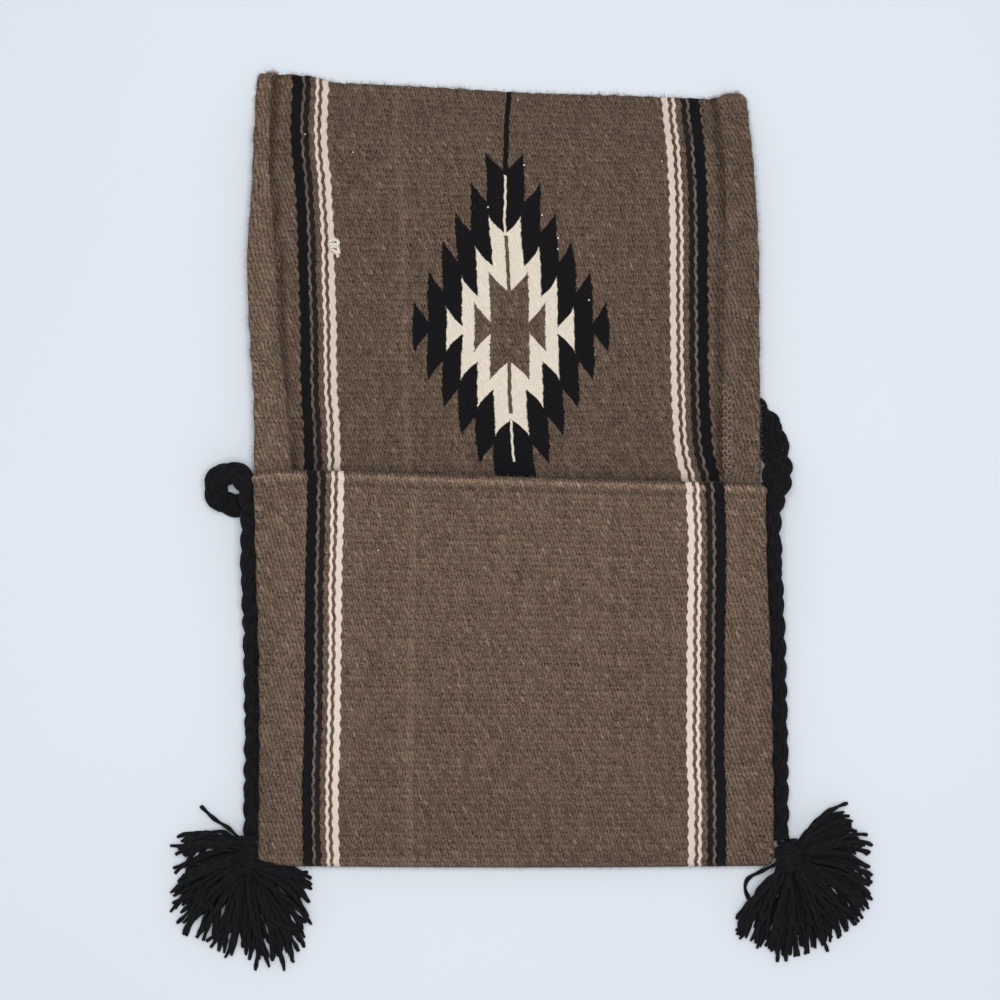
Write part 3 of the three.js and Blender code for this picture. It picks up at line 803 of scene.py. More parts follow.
# %% Height of the cloth
CROWN, CROWN_START = 1.5, 45.0
SLACK_START = (12.0, 60.0)
LONG_WAVE, SHORT_WAVE = (0.55, 70.0), (0.3, 32.0)
WAVE_LEVEL = 0.6
FRONT_SLACK, BACK_SLACK = 0.7, 0.9
ROLL = 5.9
ROLL_HEIGHT, GROOVE_DEPTH = 1.1, 0.5
ROLL_GROOVE = (1.0, ROLL + 0.2, 0.9)
MOUTH_TIP = (1.0, 0.0, 1.8)
PUCKER = (0.0, -28.5)
PUCKER_SHAPE = 0.9
PUCKER_RIM, PUCKER_PIT = (0.55, 5.5, 2.4), (0.9, 0.0, 3.2)
SEAM_GAP, SEAM_WIDTH, SEAM_DEPTH = 1.6, 1.7, 0.6

front = on_front[:, None]
rolled = np.sin(np.pi * np.clip(from_mouth / ROLL, 0, 1))[:, None]
groove = bell(from_mouth, *ROLL_GROOVE)[:, None]


def lift(x, y):
    """How far the cloth stands off its flat lie: the pocket's crown and the slack waves."""
    crown = rise(path_y, FOLD_Y, CROWN_START) * (STRAP_ROOM - back_height(path_y) + CROWN)
    crown = front * crown[:, None] * (1 - np.abs(np.clip(x / HALF_WIDTH, -1, 1)) ** 6)
    slack = (rise(stations, *SLACK_START) * ~in_fold)[:, None] * np.where(front, FRONT_SLACK, BACK_SLACK)
    flat = np.stack([x.ravel(), y.ravel()], axis=1)
    wave = (ripple(flat, 3, *LONG_WAVE) + ripple(flat, 4, *SHORT_WAVE)).reshape(x.shape)
    return crown + slack * np.maximum(WAVE_LEVEL + wave, 0)


def pucker(x, y):
    """The small dent in the pocket's front, with a rim round it."""
    reach = np.hypot(x - PUCKER[0], (y - PUCKER[1]) * PUCKER_SHAPE)
    return bell(reach, *PUCKER_RIM) - bell(reach, *PUCKER_PIT)


def seam(x):
    """1 in the groove beside each of the flap's hems, 0 away from it."""
    left_seam = (left + hem_left)[:, None] + SEAM_GAP
    right_seam = (right - hem_right)[:, None] - SEAM_GAP
    grooves = bell(x, 1, left_seam, SEAM_WIDTH) + bell(x, 1, right_seam, SEAM_WIDTH)
    return grooves * is_main * (flap_share > 0)[:, None]


print("The roll at the mouth is", ROLL, "mm wide")

# %% Place the rings
# Painted light on the cloth: the pocket is painted lighter towards its mouth and darker towards the bottom
# fold.
FRONT_LIGHT, FRONT_SHADE = 0.55, 0.27
# Painted highlight along the rolled mouth, and painted shade in the groove below it and at its upper edge.
ROLL_HIGHLIGHT, GROOVE_SHADE, MOUTH_EDGE_SHADE = 1.4, 0.75, 0.7
# The turned-in hems on the flap: the left one darker, the right one lighter.
HEM_TONES = (-0.2, 0.36)
# Painted shade over the whole flap, deeper in the groove beside each of its hems.
FLAP_SHADE, SEAM_SHADE = 0.24, 1.25
MOUTH_SHADE = (0.5, 0.6, 2.4)

ribbed = (fullness > 0.99) & (from_mouth > MOUTH_ZONE)
rib = RIB * np.where(np.arange(len(stations)) % 2, 1, -1) * ribbed
half = (CLOTH / 2 * fullness + rib)[:, None] * wool


def strip_points(face):
    """The points of one face of the strip and their painted light and tone: -1 is the outside of the bag, 1
    its inside.
    """
    x = middle_x - face * half * out_x
    h = middle_h - face * half * out_h
    y = path_y[:, None] + h * inward_y[:, None] + slope[:, None] * x + row_shift(x)
    z = path_z[:, None] + h * inward_z[:, None] + lift(x, y)
    if face < 0:
        z = z + front * (ROLL_HEIGHT * rolled - GROOVE_DEPTH * groove + pucker(x, y))
        # Painted light: lighter up the pocket and along the roll, painted shade in the groove and at the
        # mouth's edge.
        light_and_tone = FRONT_LIGHT * np.sqrt(front_share)[:, None] - FRONT_SHADE + ROLL_HIGHLIGHT * rolled**2
        light_and_tone = light_and_tone - GROOVE_SHADE * groove - MOUTH_EDGE_SHADE * bell(from_mouth, *MOUTH_TIP)[:, None]
        light_and_tone = np.where(front, light_and_tone, np.where(x > 0, *HEM_TONES))
    else:
        z = z - SEAM_DEPTH * seam(x)
        above_mouth = y - MOUTH_Y + FRONT_SLOPE * x
        # Painted shade on the flap, deeper in the seam grooves and just above the mouth.
        light_and_tone = -FLAP_SHADE - SEAM_SHADE * seam(x) - bell(above_mouth, *MOUTH_SHADE)
    return np.stack([x, y, z], axis=-1), light_and_tone


outside, outside_light_and_tone = strip_points(-1)
inside, inside_light_and_tone = strip_points(1)
print("Highest point of the cloth:", round(float(outside[..., 2].max()), 1), "mm")

# %% [markdown]
# ## Weave, stripes and diamond
# The cloth is weft-faced: thick weft yarns run along the strip and hide the warps, so the surface is rows
# of short slanted grains, half a grain to the side in each next row. Image textures are not
# used. The strip carries a UV map in millimetres, U across and V along, and the pattern is drawn on it
# as the weaver would count it: stripes are bands of U, and the diamond is a lattice of columns,
# each a fixed step shorter than the one before it, with a slanted tooth at its end. The
# grains, a stripe and a serrated diamond are node groups; the last two are used again and again.

# %% Group: weave grains
GRAIN_DRIFT, DRIFT_SCALE = 2.4, 0.6
GRAIN_NUDGE = 0.1
GRAIN_REACH = 0.48
grains, (across, along, slant, grain_width, grain_length, row_pitch), result = new_group(
    "weave_grains", ["Height", "Chance", "Straight"],
    Across=0.0, Along=0.0, Lean=0.2, Grain_Width=1.7, Grain_Length=0.37, Row_Pitch=WARP,
)
place = wire(grains, "CombineXYZ", across, along)
drifted = (noise(place, DRIFT_SCALE) - 0.5) * GRAIN_DRIFT + across
double_pitch = row_pitch * 2.0
layers = []
for offset in (0.0, 0.5):
    row_place = along / double_pitch + offset
    in_row = row_place.fract() - 0.5
    straight = (drifted - in_row * double_pitch * slant) / grain_width
    column_place = straight + offset
    cell = wire(grains, "CombineXYZ", column_place.floor(), row_place.floor(), offset)
    chance = wire(grains, "TexWhiteNoise", cell, noise_dimensions="3D", out="Value")
    nudge = (chance - 0.5) * GRAIN_NUDGE
    wide = (column_place.fract() - 0.5 + nudge * 0.5) / GRAIN_REACH
    long = (in_row + nudge) / grain_length
    layers.append(((1.0 - (wide * wide + long * long)).most(0.0).root(), chance))
(low_height, low_chance), (high_height, high_chance) = layers
fill(result["Straight"], straight * grain_width)
fill(result["Height"], low_height.most(high_height))
fill(result["Chance"], wire(grains, "Mix", high_height.above(low_height), None, low_chance, high_chance))

# %% Group: stripe
EDGE_SOFTNESS = 0.18
stripe, (across, start, end), result = new_group("stripe", ["Mask"], Across=0.0, From=0.0, To=1.0)
beyond = (across - start).ramp(-EDGE_SOFTNESS, EDGE_SOFTNESS)
before = (end - across).ramp(-EDGE_SOFTNESS, EDGE_SOFTNESS)
fill(result["Mask"], beyond * before)


def band(across, start, end):
    """1 where a value lies between two others, by one stripe group."""
    return use_group(across.tree, stripe, Across=across, From=start, To=end)["Mask"]


# %% Group: serrated diamond
TIP_SOFTNESS = 0.3
SHOULDER_CURVE = 1.4
LEAST_BLUNT = 0.01
diamond, given, result = new_group(
    "serrated_diamond", ["Mask"],
    Across=0.0, Along=0.0, Columns=6.0, First_Column=9.1, Column_Pitch=7.75, Step=15.15, Outer_Tip=12.0,
    Tooth=10.5, Blunt=0.0, Shoulder=11.0, Hook=0.8,
)
across, along, columns, first_column, column_pitch, step, outer_tip, tooth, blunt, shoulder, hook = given
past_first = (across - first_column) / column_pitch
number = (past_first.floor() + 1.0).most(0.0)
in_first = number.under(0.5)
share = wire(diamond, "Mix", in_first, None, past_first.fract(), across / first_column)
tip = (columns - 1.0 - number) * step + outer_tip
peak = 1.0 - blunt
inner_drop = (1.0 - share / peak).most(0.0).power(hook) * tooth
past_peak = (share - peak).most(0.0) / blunt.most(LEAST_BLUNT)
outer_drop = past_peak.power(SHOULDER_CURVE) * shoulder
under_edge = (tip - inner_drop.most(outer_drop) - along).ramp(-TIP_SOFTNESS, TIP_SOFTNESS)
fill(result["Mask"], under_edge * number.under(columns - 0.5))

# %% Cloth material: woven places
MARGIN_U = 104.5
GRAIN_WIDTHS, GRAIN_LENGTHS = (1.65, 2.05), (0.35, 0.4)
STRIPE_WAVE, MOTIF_WAVE = 0.34, 0.13
SLOW_DRIFT, SLOW_SCALE = 1.4, 0.07
ROUGH_SCALE = 1.1

cloth_material, tree, shader = new_material("woven_wool_cloth", roughness=0.95, sheen=0.05)
weave_map = wire(tree, "UVMap", uv_map="weave", out="UV")
u, v, _ = weave_map.parts()
light_and_tone = wire(tree, "Attribute", attribute_name="light_and_tone", out="Fac")
grain_lean = wire(tree, "Attribute", attribute_name="dash_lean", out="Fac")
in_margin = abs(u).above(MARGIN_U)
weave = use_group(
    tree, grains, Across=u, Along=v, Lean=grain_lean,
    Grain_Width=in_margin.ramp(0.0, 1.0, *GRAIN_WIDTHS),
    Grain_Length=in_margin.ramp(0.0, 1.0, *GRAIN_LENGTHS),
)
row_wave = (v * (math.pi / WARP)).sine()
rough_shift = noise(weave_map, ROUGH_SCALE) - 0.5
hand_u = u + ((noise(weave_map, SLOW_SCALE) - 0.5) * SLOW_DRIFT + rough_shift)
stripe_u = abs(row_wave * STRIPE_WAVE + hand_u)

# %% Cloth material: places in the diamond
MOTIF_U = 3.1
MOTIF_V = FLAP_END_Y - 97.5
RIGHT_WIDTH, LEFT_WIDTH = 1.07, 1.04
LOWER_LENGTH, LOWER_START = 1.086, -3.1
LOWER_GROWTH = 0.0011
LOWER_DRIFT = 0.01
UPPER_DRIFT, UPPER_MIDDLE, UPPER_REACH = 1.5, 51.0, 12.0
CREAM_INSET, CREAM_TOP_INSET = 1.55, 2.3
CENTRE_SPREAD = 0.3

below = v - MOTIF_V
above = below * -1.0
past_middle = below.most(0.0)
drift_place = (below + UPPER_MIDDLE) / UPPER_REACH
upper_drift = wire(tree, "Math", 0.5, drift_place * drift_place, operation="POWER") * UPPER_DRIFT
motif_across = row_wave * MOTIF_WAVE + hand_u - MOTIF_U + upper_drift
motif_grown = (past_middle * LOWER_DRIFT + motif_across) / (past_middle * LOWER_GROWTH + 1.0)
motif_u = (motif_grown / RIGHT_WIDTH).most(motif_grown / -LEFT_WIDTH)
motif_v = above.most(below * LOWER_LENGTH + LOWER_START) + rough_shift
cream_u = motif_u + CREAM_INSET
cream_v = (above + CREAM_TOP_INSET + rough_shift).most(motif_v)
centre_u = motif_u - CENTRE_SPREAD
print("The diamond's middle lies", round(MOTIF_V, 1), "mm along the strip")

# %% Cloth material: yarn colours
CHANCE_SHARE, FUZZ_SHARE, LENGTHWISE_SHARE = 0.32, 0.76, 0.3
FUZZ_RANGE = (0.37, 0.63)
TINGE_SCALE, TINGE_RANGE = 0.12, (0.35, 0.65)
PALE_STREAK, PALE_SHARE = (-52.5, -49.0), 0.16
# The brown and the cream are painted darker in the gaps between the grains and lighter on their crests.
BROWN_RANGE, MAIN_GAP_SHADE, MARGIN_GAP_SHADE, GRAIN_CREST_LIGHT = (0.0, 0.8), 0.34, 0.32, 1.19
CREAM_RANGE, CREAM_GAP_SHADE = (0.0, 0.6), (0.9, 1.0)
SMOKE_RANGE = (0.1, 0.7)
FLECK_CHANCES, FLECK_LEVELS = (0.97, 0.99), (0.0, 0.5)
ROW_SHADE = 0.045
# How strongly the rings' painted light and shade, and the hems' tones, show in the colour.
LIGHT_AND_TONE_SCALE = 0.4

fibre_place = wire(tree, "CombineXYZ", weave["Straight"], v)
fuzz = use_group(tree, fibres, Place=fibre_place, Fineness=1.9, Stretch=0.5)["Streaks"].ramp(*FUZZ_RANGE)
lengthwise = use_group(tree, fibres, Place=weave_map, Fineness=0.16, Stretch=0.03)["Streaks"] - 0.5
heather = weave["Chance"] * CHANCE_SHARE + fuzz * FUZZ_SHARE + lengthwise * LENGTHWISE_SHARE
heather = heather + band(u, *PALE_STREAK) * PALE_SHARE
tinge = noise(weave_map, TINGE_SCALE).ramp(*TINGE_RANGE)
row_crest = (v * (2 * math.pi / WARP)).cosine()
# Painted shade in the gaps between the grains and painted highlight on their crests; the rings' painted light
# lifts the brown.
gap_shade = in_margin.ramp(0.0, 1.0, MAIN_GAP_SHADE, MARGIN_GAP_SHADE)
brown_shading = weave["Height"].ramp(*BROWN_RANGE, gap_shade, GRAIN_CREST_LIGHT)
brown_shading = brown_shading * (row_crest * ROW_SHADE + 1.0) * (light_and_tone.most(0.0) * LIGHT_AND_TONE_SCALE + 1.0)
cream_shading = weave["Height"].ramp(*CREAM_RANGE, *CREAM_GAP_SHADE)
fleck = weave["Chance"].ramp(*FLECK_CHANCES, *FLECK_LEVELS) * fuzz

light_brown = blend(tree, tinge, colour(132, 109, 95), colour(127, 110, 93))
brown = blend(tree, heather, colour(54, 38, 27), light_brown)
brown = shaded(tree, blend(tree, fleck, brown, colour(152, 137, 122)), brown_shading)
cream = shaded(tree, blend(tree, heather, colour(242, 224, 203), colour(255, 246, 230)), cream_shading)
pink_cream = blend(tree, 1.0, cream, colour(247, 240, 244), "MULTIPLY")
black = blend(tree, fuzz, colour(10, 10, 12), colour(26, 25, 28))
charcoal = blend(tree, heather, colour(14, 12, 13), colour(50, 42, 40))
smoke_tone = blend(tree, tinge, colour(96, 90, 84), colour(130, 118, 110))
smoke = blend(tree, weave["Height"].ramp(*SMOKE_RANGE), charcoal, smoke_tone)
print("Yarn colours: brown, cream, pink cream, black, charcoal and smoke")

# %% Cloth material: stripes and diamond
MIRRORED_STRIPES = [
    (85.5, 88.6, pink_cream), (90.4, 92.0, pink_cream), (95.0, 97.9, charcoal), (97.9, 99.2, smoke),
    (99.2, MARGIN_U, black),
]
RAGGED = 0.7
BLUNT_TIP = 0.2
OUTER_COLUMNS = (24.0, 26.0)

pattern = brown
for start, end, yarn in MIRRORED_STRIPES:
    pattern = blend(tree, band(stripe_u, start, end), pattern, yarn)
ragged = (fuzz - 0.5) * RAGGED
lower_half = below.above(0.0)
blunt = motif_u.ramp(*OUTER_COLUMNS).most(lower_half) * BLUNT_TIP
DIAMONDS = [
    (6, motif_u, motif_v, black, blunt, 0.8), (4, cream_u, cream_v, cream, 0.0, 0.65),
    (2, centre_u, motif_v, brown, 0.0, 0.8),
]
for columns, across, along, yarn, tip, hook in DIAMONDS:
    places = {"Across": across + ragged, "Along": along + ragged}
    mask = use_group(tree, diamond, **places, Columns=columns, Blunt=tip, Hook=hook)["Mask"]
    pattern = blend(tree, mask, pattern, yarn)
print("Diamond of", len(DIAMONDS), "fields over", len(MIRRORED_STRIPES), "mirrored stripes")

# %% Cloth material: lines on the centre
TOP_LEAN, TOP_START = 0.085, 74.0
LOW_SHIFT = 0.5

top_across = abs(motif_across - (above - TOP_START).most(0.0) * TOP_LEAN)
low_across = abs(motif_across + LOW_SHIFT)
CENTRE_LINES = [
    (72, 90, 6.0, motif_u, below, black), (45.5, 75.5, 0.55, motif_u, above, cream),
    (47.5, 68.3, 0.6, low_across, below, cream), (16.5, 45.0, 0.9, motif_u, motif_v, brown),
    (76, 140, 1.3, top_across, above, black),
]
for start, end, half_width, across, along, yarn in CENTRE_LINES:
    mask = band(across, -1.0, half_width) * band(along, start, end)
    pattern = blend(tree, mask, pattern, yarn)
print("Lines on the centre:", len(CENTRE_LINES))

# %% Cloth material: relief, painted light and tone
PUCKER_SHADE_RING = (2.2, 3.6)
PUCKER_SHADE_SIDE = (-1.0, 2.5)
FUZZ_HEIGHT = 0.5

pucker_v = BACK_LENGTH + FOLD_LENGTH + PUCKER[1] - FOLD_Y
reach = wire(tree, "VectorMath", weave_map, (PUCKER[0], pucker_v, 0), operation="DISTANCE", out="Value")
# Painted shade: a crescent on one side of the pucker's dent.
pucker_shade = band(reach, *PUCKER_SHADE_RING) * (u - PUCKER[0] + (v - pucker_v)).ramp(*PUCKER_SHADE_SIDE)
level = (light_and_tone.least(0.0) - pucker_shade) * LIGHT_AND_TONE_SCALE + 1.0
fill(shader.inputs["Base Color"], shaded(tree, pattern, level))
emboss(shader, fuzz * FUZZ_HEIGHT + weave["Height"], strength=0.7, depth=0.5)
print("Cloth material has", len(tree.nodes), "nodes")

# %% Cloth piece
def round_strip(outer, inner):
    """Values of both faces, once round each ring of the strip."""
    return np.concatenate([outer, inner[:, ::-1]], axis=1)


def point_value(piece, name, values):
    """Gives each point of a piece a value of that name."""
    made = piece.data.attributes.new(name, "FLOAT", "POINT")
    made.data.foreach_set("value", values.astype(np.float32).ravel())


rings, width = middle_x.shape
index = np.arange(rings * 2 * width).reshape(rings, 2 * width)
after = np.roll(index, -1, axis=1)
outer, inner = index[:, :width], index[:, width:][:, ::-1]
quads = np.stack([index[:-1], after[:-1], after[1:], index[1:]], axis=-1).reshape(-1, 4)
ends = [
    np.stack([near[:-1], far[:-1], far[1:], near[1:]], axis=-1)
    for near, far in ((outer[0], inner[0]), (inner[-1], outer[-1]))
]
faces = np.concatenate([quads, *ends])
points = round_strip(outside, inside).reshape(-1, 3)
woven = np.stack([weave_u, weave_v], axis=-1)
corners = round_strip(woven, woven).reshape(-1, 2)[faces.ravel()]
cloth = new_piece(
    "bag_cloth_woven", points, faces.tolist(), cloth_material, "weave", corners
)
point_value(cloth, "dash_lean", round_strip(-lean, lean))
point_value(cloth, "light_and_tone", round_strip(outside_light_and_tone, inside_light_and_tone))
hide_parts("bag_cloth")

# %% [markdown]
# ## Stitches and knots
# The hems are sewn down with a pale brown yarn that shows as a chain of loops low on the right hem and as
# single stitches above it. A bit of the cream weft stands out of its stripe as a small knot of loops.
# A loop is a torus and a stitch is a ball, pressed flat in edit mode. Each sits on the cloth: its height is
# that of the cloth's points beside it.

# %% Places on the cloth
NEAREST = 4


def seen_side(outer, inner):
    """The values of the cloth's visible points, from those of its outside and its inside."""
    hems = np.r_[0:SIDE_POINTS, -SIDE_POINTS:0]
    parts = [inner[on_flap][:, SIDE_POINTS:-SIDE_POINTS], outer[on_flap][:, hems], outer[on_front]]
    return np.concatenate([part.reshape(-1, *part.shape[2:]) for part in parts])


def cloth_top(x, y):
    """The height of the cloth's visible face at a place in the plane, in millimetres."""
    gap = (visible[:, 0] - x) ** 2 + (visible[:, 1] - y) ** 2
    return float(visible[np.argsort(gap)[:NEAREST], 2].max())


def on_cloth(x, y, height):
    """A place a little over the cloth's visible face, in metres."""
    return (x * MM, y * MM, (cloth_top(x, y) + height) * MM)


visible = seen_side(outside, inside)
print("Visible points of the cloth:", len(visible))

# %% Shaping and joining
def shaped(piece, size=(1, 1, 1), turns=()):
    """Presses a new piece to shares of its size in edit mode, then turns it about its own axes."""
    bpy.ops.object.mode_set(mode="EDIT")
    bpy.ops.mesh.select_all(action="SELECT")
    bpy.ops.transform.resize(value=size)
    for axis, angle in turns:
        bpy.ops.transform.rotate(value=angle, orient_axis=axis, center_override=piece.location)
    bpy.ops.object.mode_set(mode="OBJECT")
    piece.data.uv_layers.active.name = "yarn"
    return piece


def joined(name, pieces, material):
    """Joins small pieces into one, at the origin, with its material."""
    bpy.ops.object.select_all(action="DESELECT")
    for piece in pieces:
        piece.select_set(True)
    bpy.context.view_layer.objects.active = pieces[0]
    bpy.ops.object.join()
    bpy.ops.object.transform_apply(location=True, rotation=True, scale=True)
    bpy.ops.object.shade_smooth()
    whole = bpy.context.object
    whole.name = name
    whole.data.materials.append(material)
    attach(whole, "root")
    print(name, "has", len(whole.data.polygons), "faces")
    return whole


print("Shaping helpers ready")

# %% Stitches
CHAIN_COLUMNS = (104.7, 106.7)
CHAIN_TOP = 66.0
CHAIN_PITCH = 3.3
CHAIN_LOOPS = 26
CHAIN_LEANS = (-0.55, 0.55)
LOOP_RADIUS = 1.3
LOOP_YARN = 0.5
LOOP_SIZE = (0.75, 1.45, 0.8)
LOOP_LIFT, WIDTH_SWAY, LEAN_SWAY = 0.2, 0.1, 0.25
WIDTH_RHYTHM, LEAN_RHYTHM = 3, 5
STITCH_SIZE, STITCH_LIFT = (1, 1, 0.7), 0.1
STITCH_RADIUS, CREAM_RADIUS, FLECK_RADIUS = 0.55, 0.5, 0.4
RIGHT_STITCHES = [
    (104.8, 189), (104.8, 174.5), (105, 168.5), (105.5, 163), (107.5, 145.5), (107.2, 140.5), (106.8, 118),
    (105, 108.5), (105, 95), (105.5, 84), (105.5, 77.5),
]
LEFT_STITCHES = [
    (-125.5, 207), (-123, 183.5), (-123.5, 169.5), (-125.5, 157.5), (-122, 145), (-119, 131), (-118.5, 128),
    (-118.5, 109),
]
CREAM_STITCHES = [(4, 177.5), (13, 152.5), (21, 141), (21, 135.5), (36.5, 110), (-14, 156.5)]
FLECKS = [(-81.5, 184), (-105.5, 193), (73, 179.5), (-68.5, -15), (1, 211)]


def stitches(places, radius):
    """Single stitches of yarn that show on the cloth, as flat balls."""
    made = []
    for x, y in places:
        bpy.ops.mesh.primitive_uv_sphere_add(
            segments=8, ring_count=5, radius=radius * MM, location=on_cloth(x, y, STITCH_LIFT)
        )
        made.append(shaped(bpy.context.object, STITCH_SIZE))
    return made


def chain_loop(number):
    """One loop of the chain stitch, as a flat ring that leans to the side its yarn comes from."""
    bpy.ops.mesh.primitive_torus_add(
        location=on_cloth(CHAIN_COLUMNS[number % 2], CHAIN_TOP - CHAIN_PITCH / 2 * number, LOOP_LIFT),
        major_segments=10, minor_segments=4, major_radius=LOOP_RADIUS * MM, minor_radius=LOOP_YARN * MM,
    )
    wide, long, high = LOOP_SIZE
    turn = CHAIN_LEANS[number % 2] + LEAN_SWAY * math.sin(LEAN_RHYTHM * number)
    size = (wide + WIDTH_SWAY * math.sin(WIDTH_RHYTHM * number), long, high)
    return shaped(bpy.context.object, size, [("Z", turn)])


chain = [chain_loop(number) for number in range(CHAIN_LOOPS)]
hem_yarns = chain + stitches(RIGHT_STITCHES + LEFT_STITCHES, STITCH_RADIUS)
hem_stitches = joined("hem_stitches", hem_yarns, stitch_yarn)
cream_yarns = stitches(CREAM_STITCHES, CREAM_RADIUS) + stitches(FLECKS, FLECK_RADIUS)
cream_stitches = joined("cream_stitches", cream_yarns, cream_yarn)

# %% Knot of loops on the cream stripe
KNOT_RADIUS = 0.85
KNOT_SPACING, KNOT_RINGS = 0.4, 12
KNOT_LOOPS = [
    [(-93.5, 139, 0.3), (-91.5, 140, 1.2), (-89.2, 139.8, 1.4), (-88.9, 138, 0.9), (-89.6, 137, 0.2)],
    [(-93.4, 137.5, 0.3), (-92, 137.9, 1.1), (-90.4, 137.6, 1.3), (-89.2, 137, 0.8), (-88.8, 136.4, 0.1)],
    [(-93, 136, 0.3), (-91, 136.8, 1.3), (-89, 136.2, 1.5), (-88.7, 134.9, 1), (-88.4, 133.6, 0.1)],
    [(-92.4, 135, 0.3), (-91, 134.6, 1.2), (-89.8, 133.6, 1.4), (-89, 132.4, 0.9), (-89.2, 131.6, 0.1)],
]
knot_lines = [
    even_count([(x, y, cloth_top(x, y) + height) for x, y, height in loop], KNOT_SPACING, KNOT_RINGS)
    for loop in KNOT_LOOPS
]
weft_knot = yarn_piece(
    "weft_knot", knot_lines, KNOT_RADIUS, cream_yarn, sides=8, ply=0.12, ply_turn=3.0
)

# %% [markdown]
# ## Loose fibres
# Hand-spun wool is hairy, and against a pale floor that softens every edge. Fur shaders or particles would
# not reach the exported model, so the longest fibres are geometry: thin three-sided tubes of
# three rings, which stand out from the edges, the mouth, the brown cloth and the plait.

# %% Fibres of the cloth
FIBRE_RADII = 0.06 * np.array([1.0, 0.75, 0.15])
FIBRE_FLOOR = 0.12
FIBRE_SPREAD, FIBRE_CURL = 0.45, 0.7
FIBRE_SHORTEST, FIBRE_POWER = 0.3, 1.5
NAP_FIBRES, NAP_LENGTH = 1500, 3.2
NAP_SCATTER, NAP_RISE = (1.5, 0.8, 0), (0, 0, 0.5)
BROWN_INSIDE, BROWN_OUTSIDE = 84, 106
MOTIF_HALF = (52, 82)


def fibre_lines(dice, roots, headings, longest):
    """Short bent lines of three points, from their roots along their headings."""
    count = len(roots)
    length = longest * dice.uniform(FIBRE_SHORTEST, 1, (count, 1)) ** FIBRE_POWER
    heading = unit(np.asarray(headings, float) + dice.normal(0, FIBRE_SPREAD, (count, 3)))
    curl = unit(heading + dice.normal(0, FIBRE_CURL, (count, 3)))
    middle = roots + heading * length * 0.5
    lines = np.stack([roots, middle, middle + curl * length * 0.5], axis=1)
    lines[..., 2] = np.maximum(lines[..., 2], FIBRE_FLOOR)
    return lines


dice = np.random.default_rng(61)
left_fold, right_fold = HEM_POINTS + FOLD_POINTS // 2, SIDE_POINTS + COLUMNS + FOLD_POINTS // 2
bottom_row = int(np.argmin(np.abs(fold_turn - math.pi / 2)))
beside_flap = flap_share > 0
FRINGES = [
    (outside[beside_flap, left_fold], (-1, 0, 0.2), 3.0, 450),
    (outside[beside_flap, right_fold], (1, 0, 0.2), 3.0, 450),
    (outside[0], (0, 1, 0.2), 3.4, 420), (inside[0], (0, 1, 0.3), 3.4, 420),
    (outside[-1], (0, 0.8, 0.5), 2.6, 500), (outside[bottom_row], (0, -1, 0.1), 2.6, 380),
]
fringe = [
    fibre_lines(dice, on_line(edge, dice.uniform(0, len(edge) - 1, count)), heading, longest)
    for edge, heading, longest, count in FRINGES
]
from_motif = np.abs(weave_u - MOTIF_U) / MOTIF_HALF[0] + np.abs(weave_v - MOTIF_V) / MOTIF_HALF[1]
off_stripes = (np.abs(weave_u) < BROWN_INSIDE) | (np.abs(weave_u) > BROWN_OUTSIDE)
is_brown = off_stripes & ((from_motif > 1) | front)
brown_points = visible[seen_side(is_brown, is_brown)]
roots = brown_points[dice.integers(0, len(brown_points), NAP_FIBRES)]
roots = roots + dice.uniform(-1, 1, (NAP_FIBRES, 3)) * NAP_SCATTER
nap = fibre_lines(dice, roots, dice.normal(0, 1, (NAP_FIBRES, 3)) * (1, 1, 0) + NAP_RISE, NAP_LENGTH)
cloth_fibres = yarn_piece(
    "cloth_fibres", np.vstack([*fringe, nap]), FIBRE_RADII, pale_yarn, sides=3
)

# %% Fibres of the plait
PLAIT_FIBRES, PLAIT_FIBRE_LENGTH = 900, 4.2
SEEN_AT_EXIT, SEEN_AT_CURL = 60, 45
seen_lines = np.delete(all_lines, np.s_[first + SEEN_AT_EXIT : last - SEEN_AT_CURL], axis=1).reshape(-1, 3)
roots = seen_lines[dice.integers(0, len(seen_lines), PLAIT_FIBRES)]
plait_hairs = fibre_lines(dice, roots, dice.normal(0, 1, (PLAIT_FIBRES, 3)), PLAIT_FIBRE_LENGTH)
yarn_piece("plait_fibres", plait_hairs, FIBRE_RADII, black_yarn, sides=3)

# %% [markdown]
# ## Tassels
# Each end of the plait is bound by a few turns of yarn, and its yarns go on as a loose skirt of nearly
# two hundred cut ends. Hair particles would not reach the exported model, so every strand is a
# tube of its own with the two-ply twist in its section. They leave the binding along its
# length, in all directions of a fan, lie over the ones below and bend downwards at their ends.
# The two fans differ, because the left tassel has fallen to the left and the right one to the right.

# %% Tassel strands
STRANDS_EACH = 190
STRAND_RINGS = 22
STRAND_RADIUS = 0.98
LOWEST = 1.25 * STRAND_RADIUS
PILE = [(0, 9.5), (0.25, 12.5), (0.5, 10.5), (0.75, 6.5), (1, 2.8)]
DOWN = -90
FAN_MARGIN = 3
NUMBER_SCATTER = (-2, 3)
SHORTEST, LENGTH_RANGE, LENGTH_POWER = 0.7, 0.32, 0.5
FALL, FALL_POWER, FIRST_TURN = 0.42, 1.7, 0.1
BEND, BEND_POWER = 13, 1.5
SWAY, SWAY_TURNS = 9, (3, 7)
ROOT_SCATTER = 1.3
STRAND_WAVE, WAVE_TURNS, WAVE_STARTS = 0.8, (4, 9), (0, 6)


